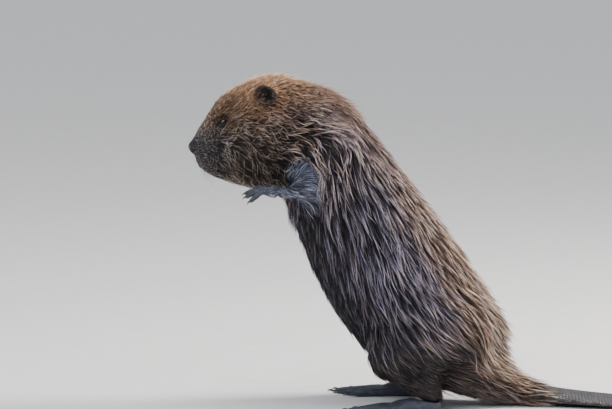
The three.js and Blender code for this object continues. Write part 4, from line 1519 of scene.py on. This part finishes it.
def make_whiskers(word, side):
    each = np.ndindex(WHISKERS["rows"], WHISKERS["each"])
    co = np.vstack([whisker_corners(row, i, side) for row, i in each])
    count = WHISKERS["rows"] * WHISKERS["each"]
    faces = repeated(closed_tube(WHISKERS["rings"], WHISKERS["steps"]), count)
    mesh = outward(mesh_of(f"whiskers_{word}", co, faces))
    set_layer(mesh, "along", np.tile(np.repeat(shares_to(WHISKERS["rings"]), WHISKERS["steps"]), count))
    add_piece(f"whiskers_{word}", mesh, WHISKER_MATERIAL, "head_coat")


for word, side in SIDES.items():
    make_whiskers(word, side)

# ---- floor, light and camera

FLOOR = {"radius": 30.0, "round": 96, "below": 0.0002}
MIDDLE = Vector((-0.05, 0.0, 0.2))  # what the lights point at
# Place, size, power and colour of each lamp.
LIGHTS = {
    "key": ((-1.2, -1.7, 1.8), 1.2, 34.0, (0.97, 0.98, 1.0)),
    "top": ((-0.1, -0.3, 2.4), 1.3, 16.0, (0.97, 0.98, 1.0)),
    "rim": ((1.5, 0.30, 1.55), 0.8, 86.0, (1.0, 0.93, 0.86)),
    "fill": ((1.6, -1.8, 0.8), 1.6, 10.0, (0.90, 0.94, 1.0)),
}
SKY = {"way": (0.15, 0.22, -1.0), "strength": 1.8, "spread": math.radians(50)}
SURROUND = {"Color": (0.88, 0.92, 1.0, 1), "Strength": 0.34}
CAMERA = {"aim": Vector((-0.1520, -0.0038, 0.2419)), "far": 5.0, "rise": math.radians(6.0)}
VIEW_WIDTH = 0.7344
SENSOR = 36.0


def make_floor():
    """A plain pale floor that reaches far past the picture on every side."""
    angles = np.linspace(0, 2 * math.pi, FLOOR["round"], endpoint=False)
    rim = np.stack([np.cos(angles), np.sin(angles), np.zeros(len(angles))], axis=1) * FLOOR["radius"]
    co = np.concatenate([np.zeros((1, 3)), rim]) - np.array([0, 0, FLOOR["below"]])
    faces = [(0, i + 1, (i + 1) % FLOOR["round"] + 1) for i in range(FLOOR["round"])]
    new_object("floor", mesh_of("floor", co, faces), floor_material())


def aimed(name, data, way, place=(0, 0, 0)):
    """A lamp or camera at a place, pointed along a way."""
    obj = new_object(name, data)
    obj.location = place
    obj.rotation_mode = "QUATERNION"
    obj.rotation_quaternion = way.to_track_quat("-Z", "Y")
    return obj


def make_lights():
    """Four soft lamps, and an even soft light from above, which keeps the far floor pale."""
    sky = bpy.data.lights.new("sky", "SUN")
    sky.energy = SKY["strength"]
    sky.angle = SKY["spread"]
    aimed("sky", sky, Vector(SKY["way"]))
    for name, (place, size, power, colour) in LIGHTS.items():
        lamp = bpy.data.lights.new(name, "AREA")
        lamp.shape = "DISK"
        lamp.size = size
        lamp.energy = power
        lamp.color = colour
        aimed(name, lamp, MIDDLE - Vector(place), place)
    world = bpy.data.worlds.new("studio")
    world.use_nodes = True
    for key, value in SURROUND.items():
        world.node_tree.nodes["Background"].inputs[key].default_value = value
    bpy.context.scene.world = world


def make_camera():
    data = bpy.data.cameras.new("camera")
    data.sensor_fit = "HORIZONTAL"
    data.sensor_width = SENSOR
    data.lens = SENSOR * CAMERA["far"] / VIEW_WIDTH
    back = Vector((0, -math.cos(CAMERA["rise"]), math.sin(CAMERA["rise"])))
    bpy.context.scene.camera = aimed("camera", data, -back, CAMERA["aim"] + back * CAMERA["far"])


make_floor()
make_lights()
make_camera()
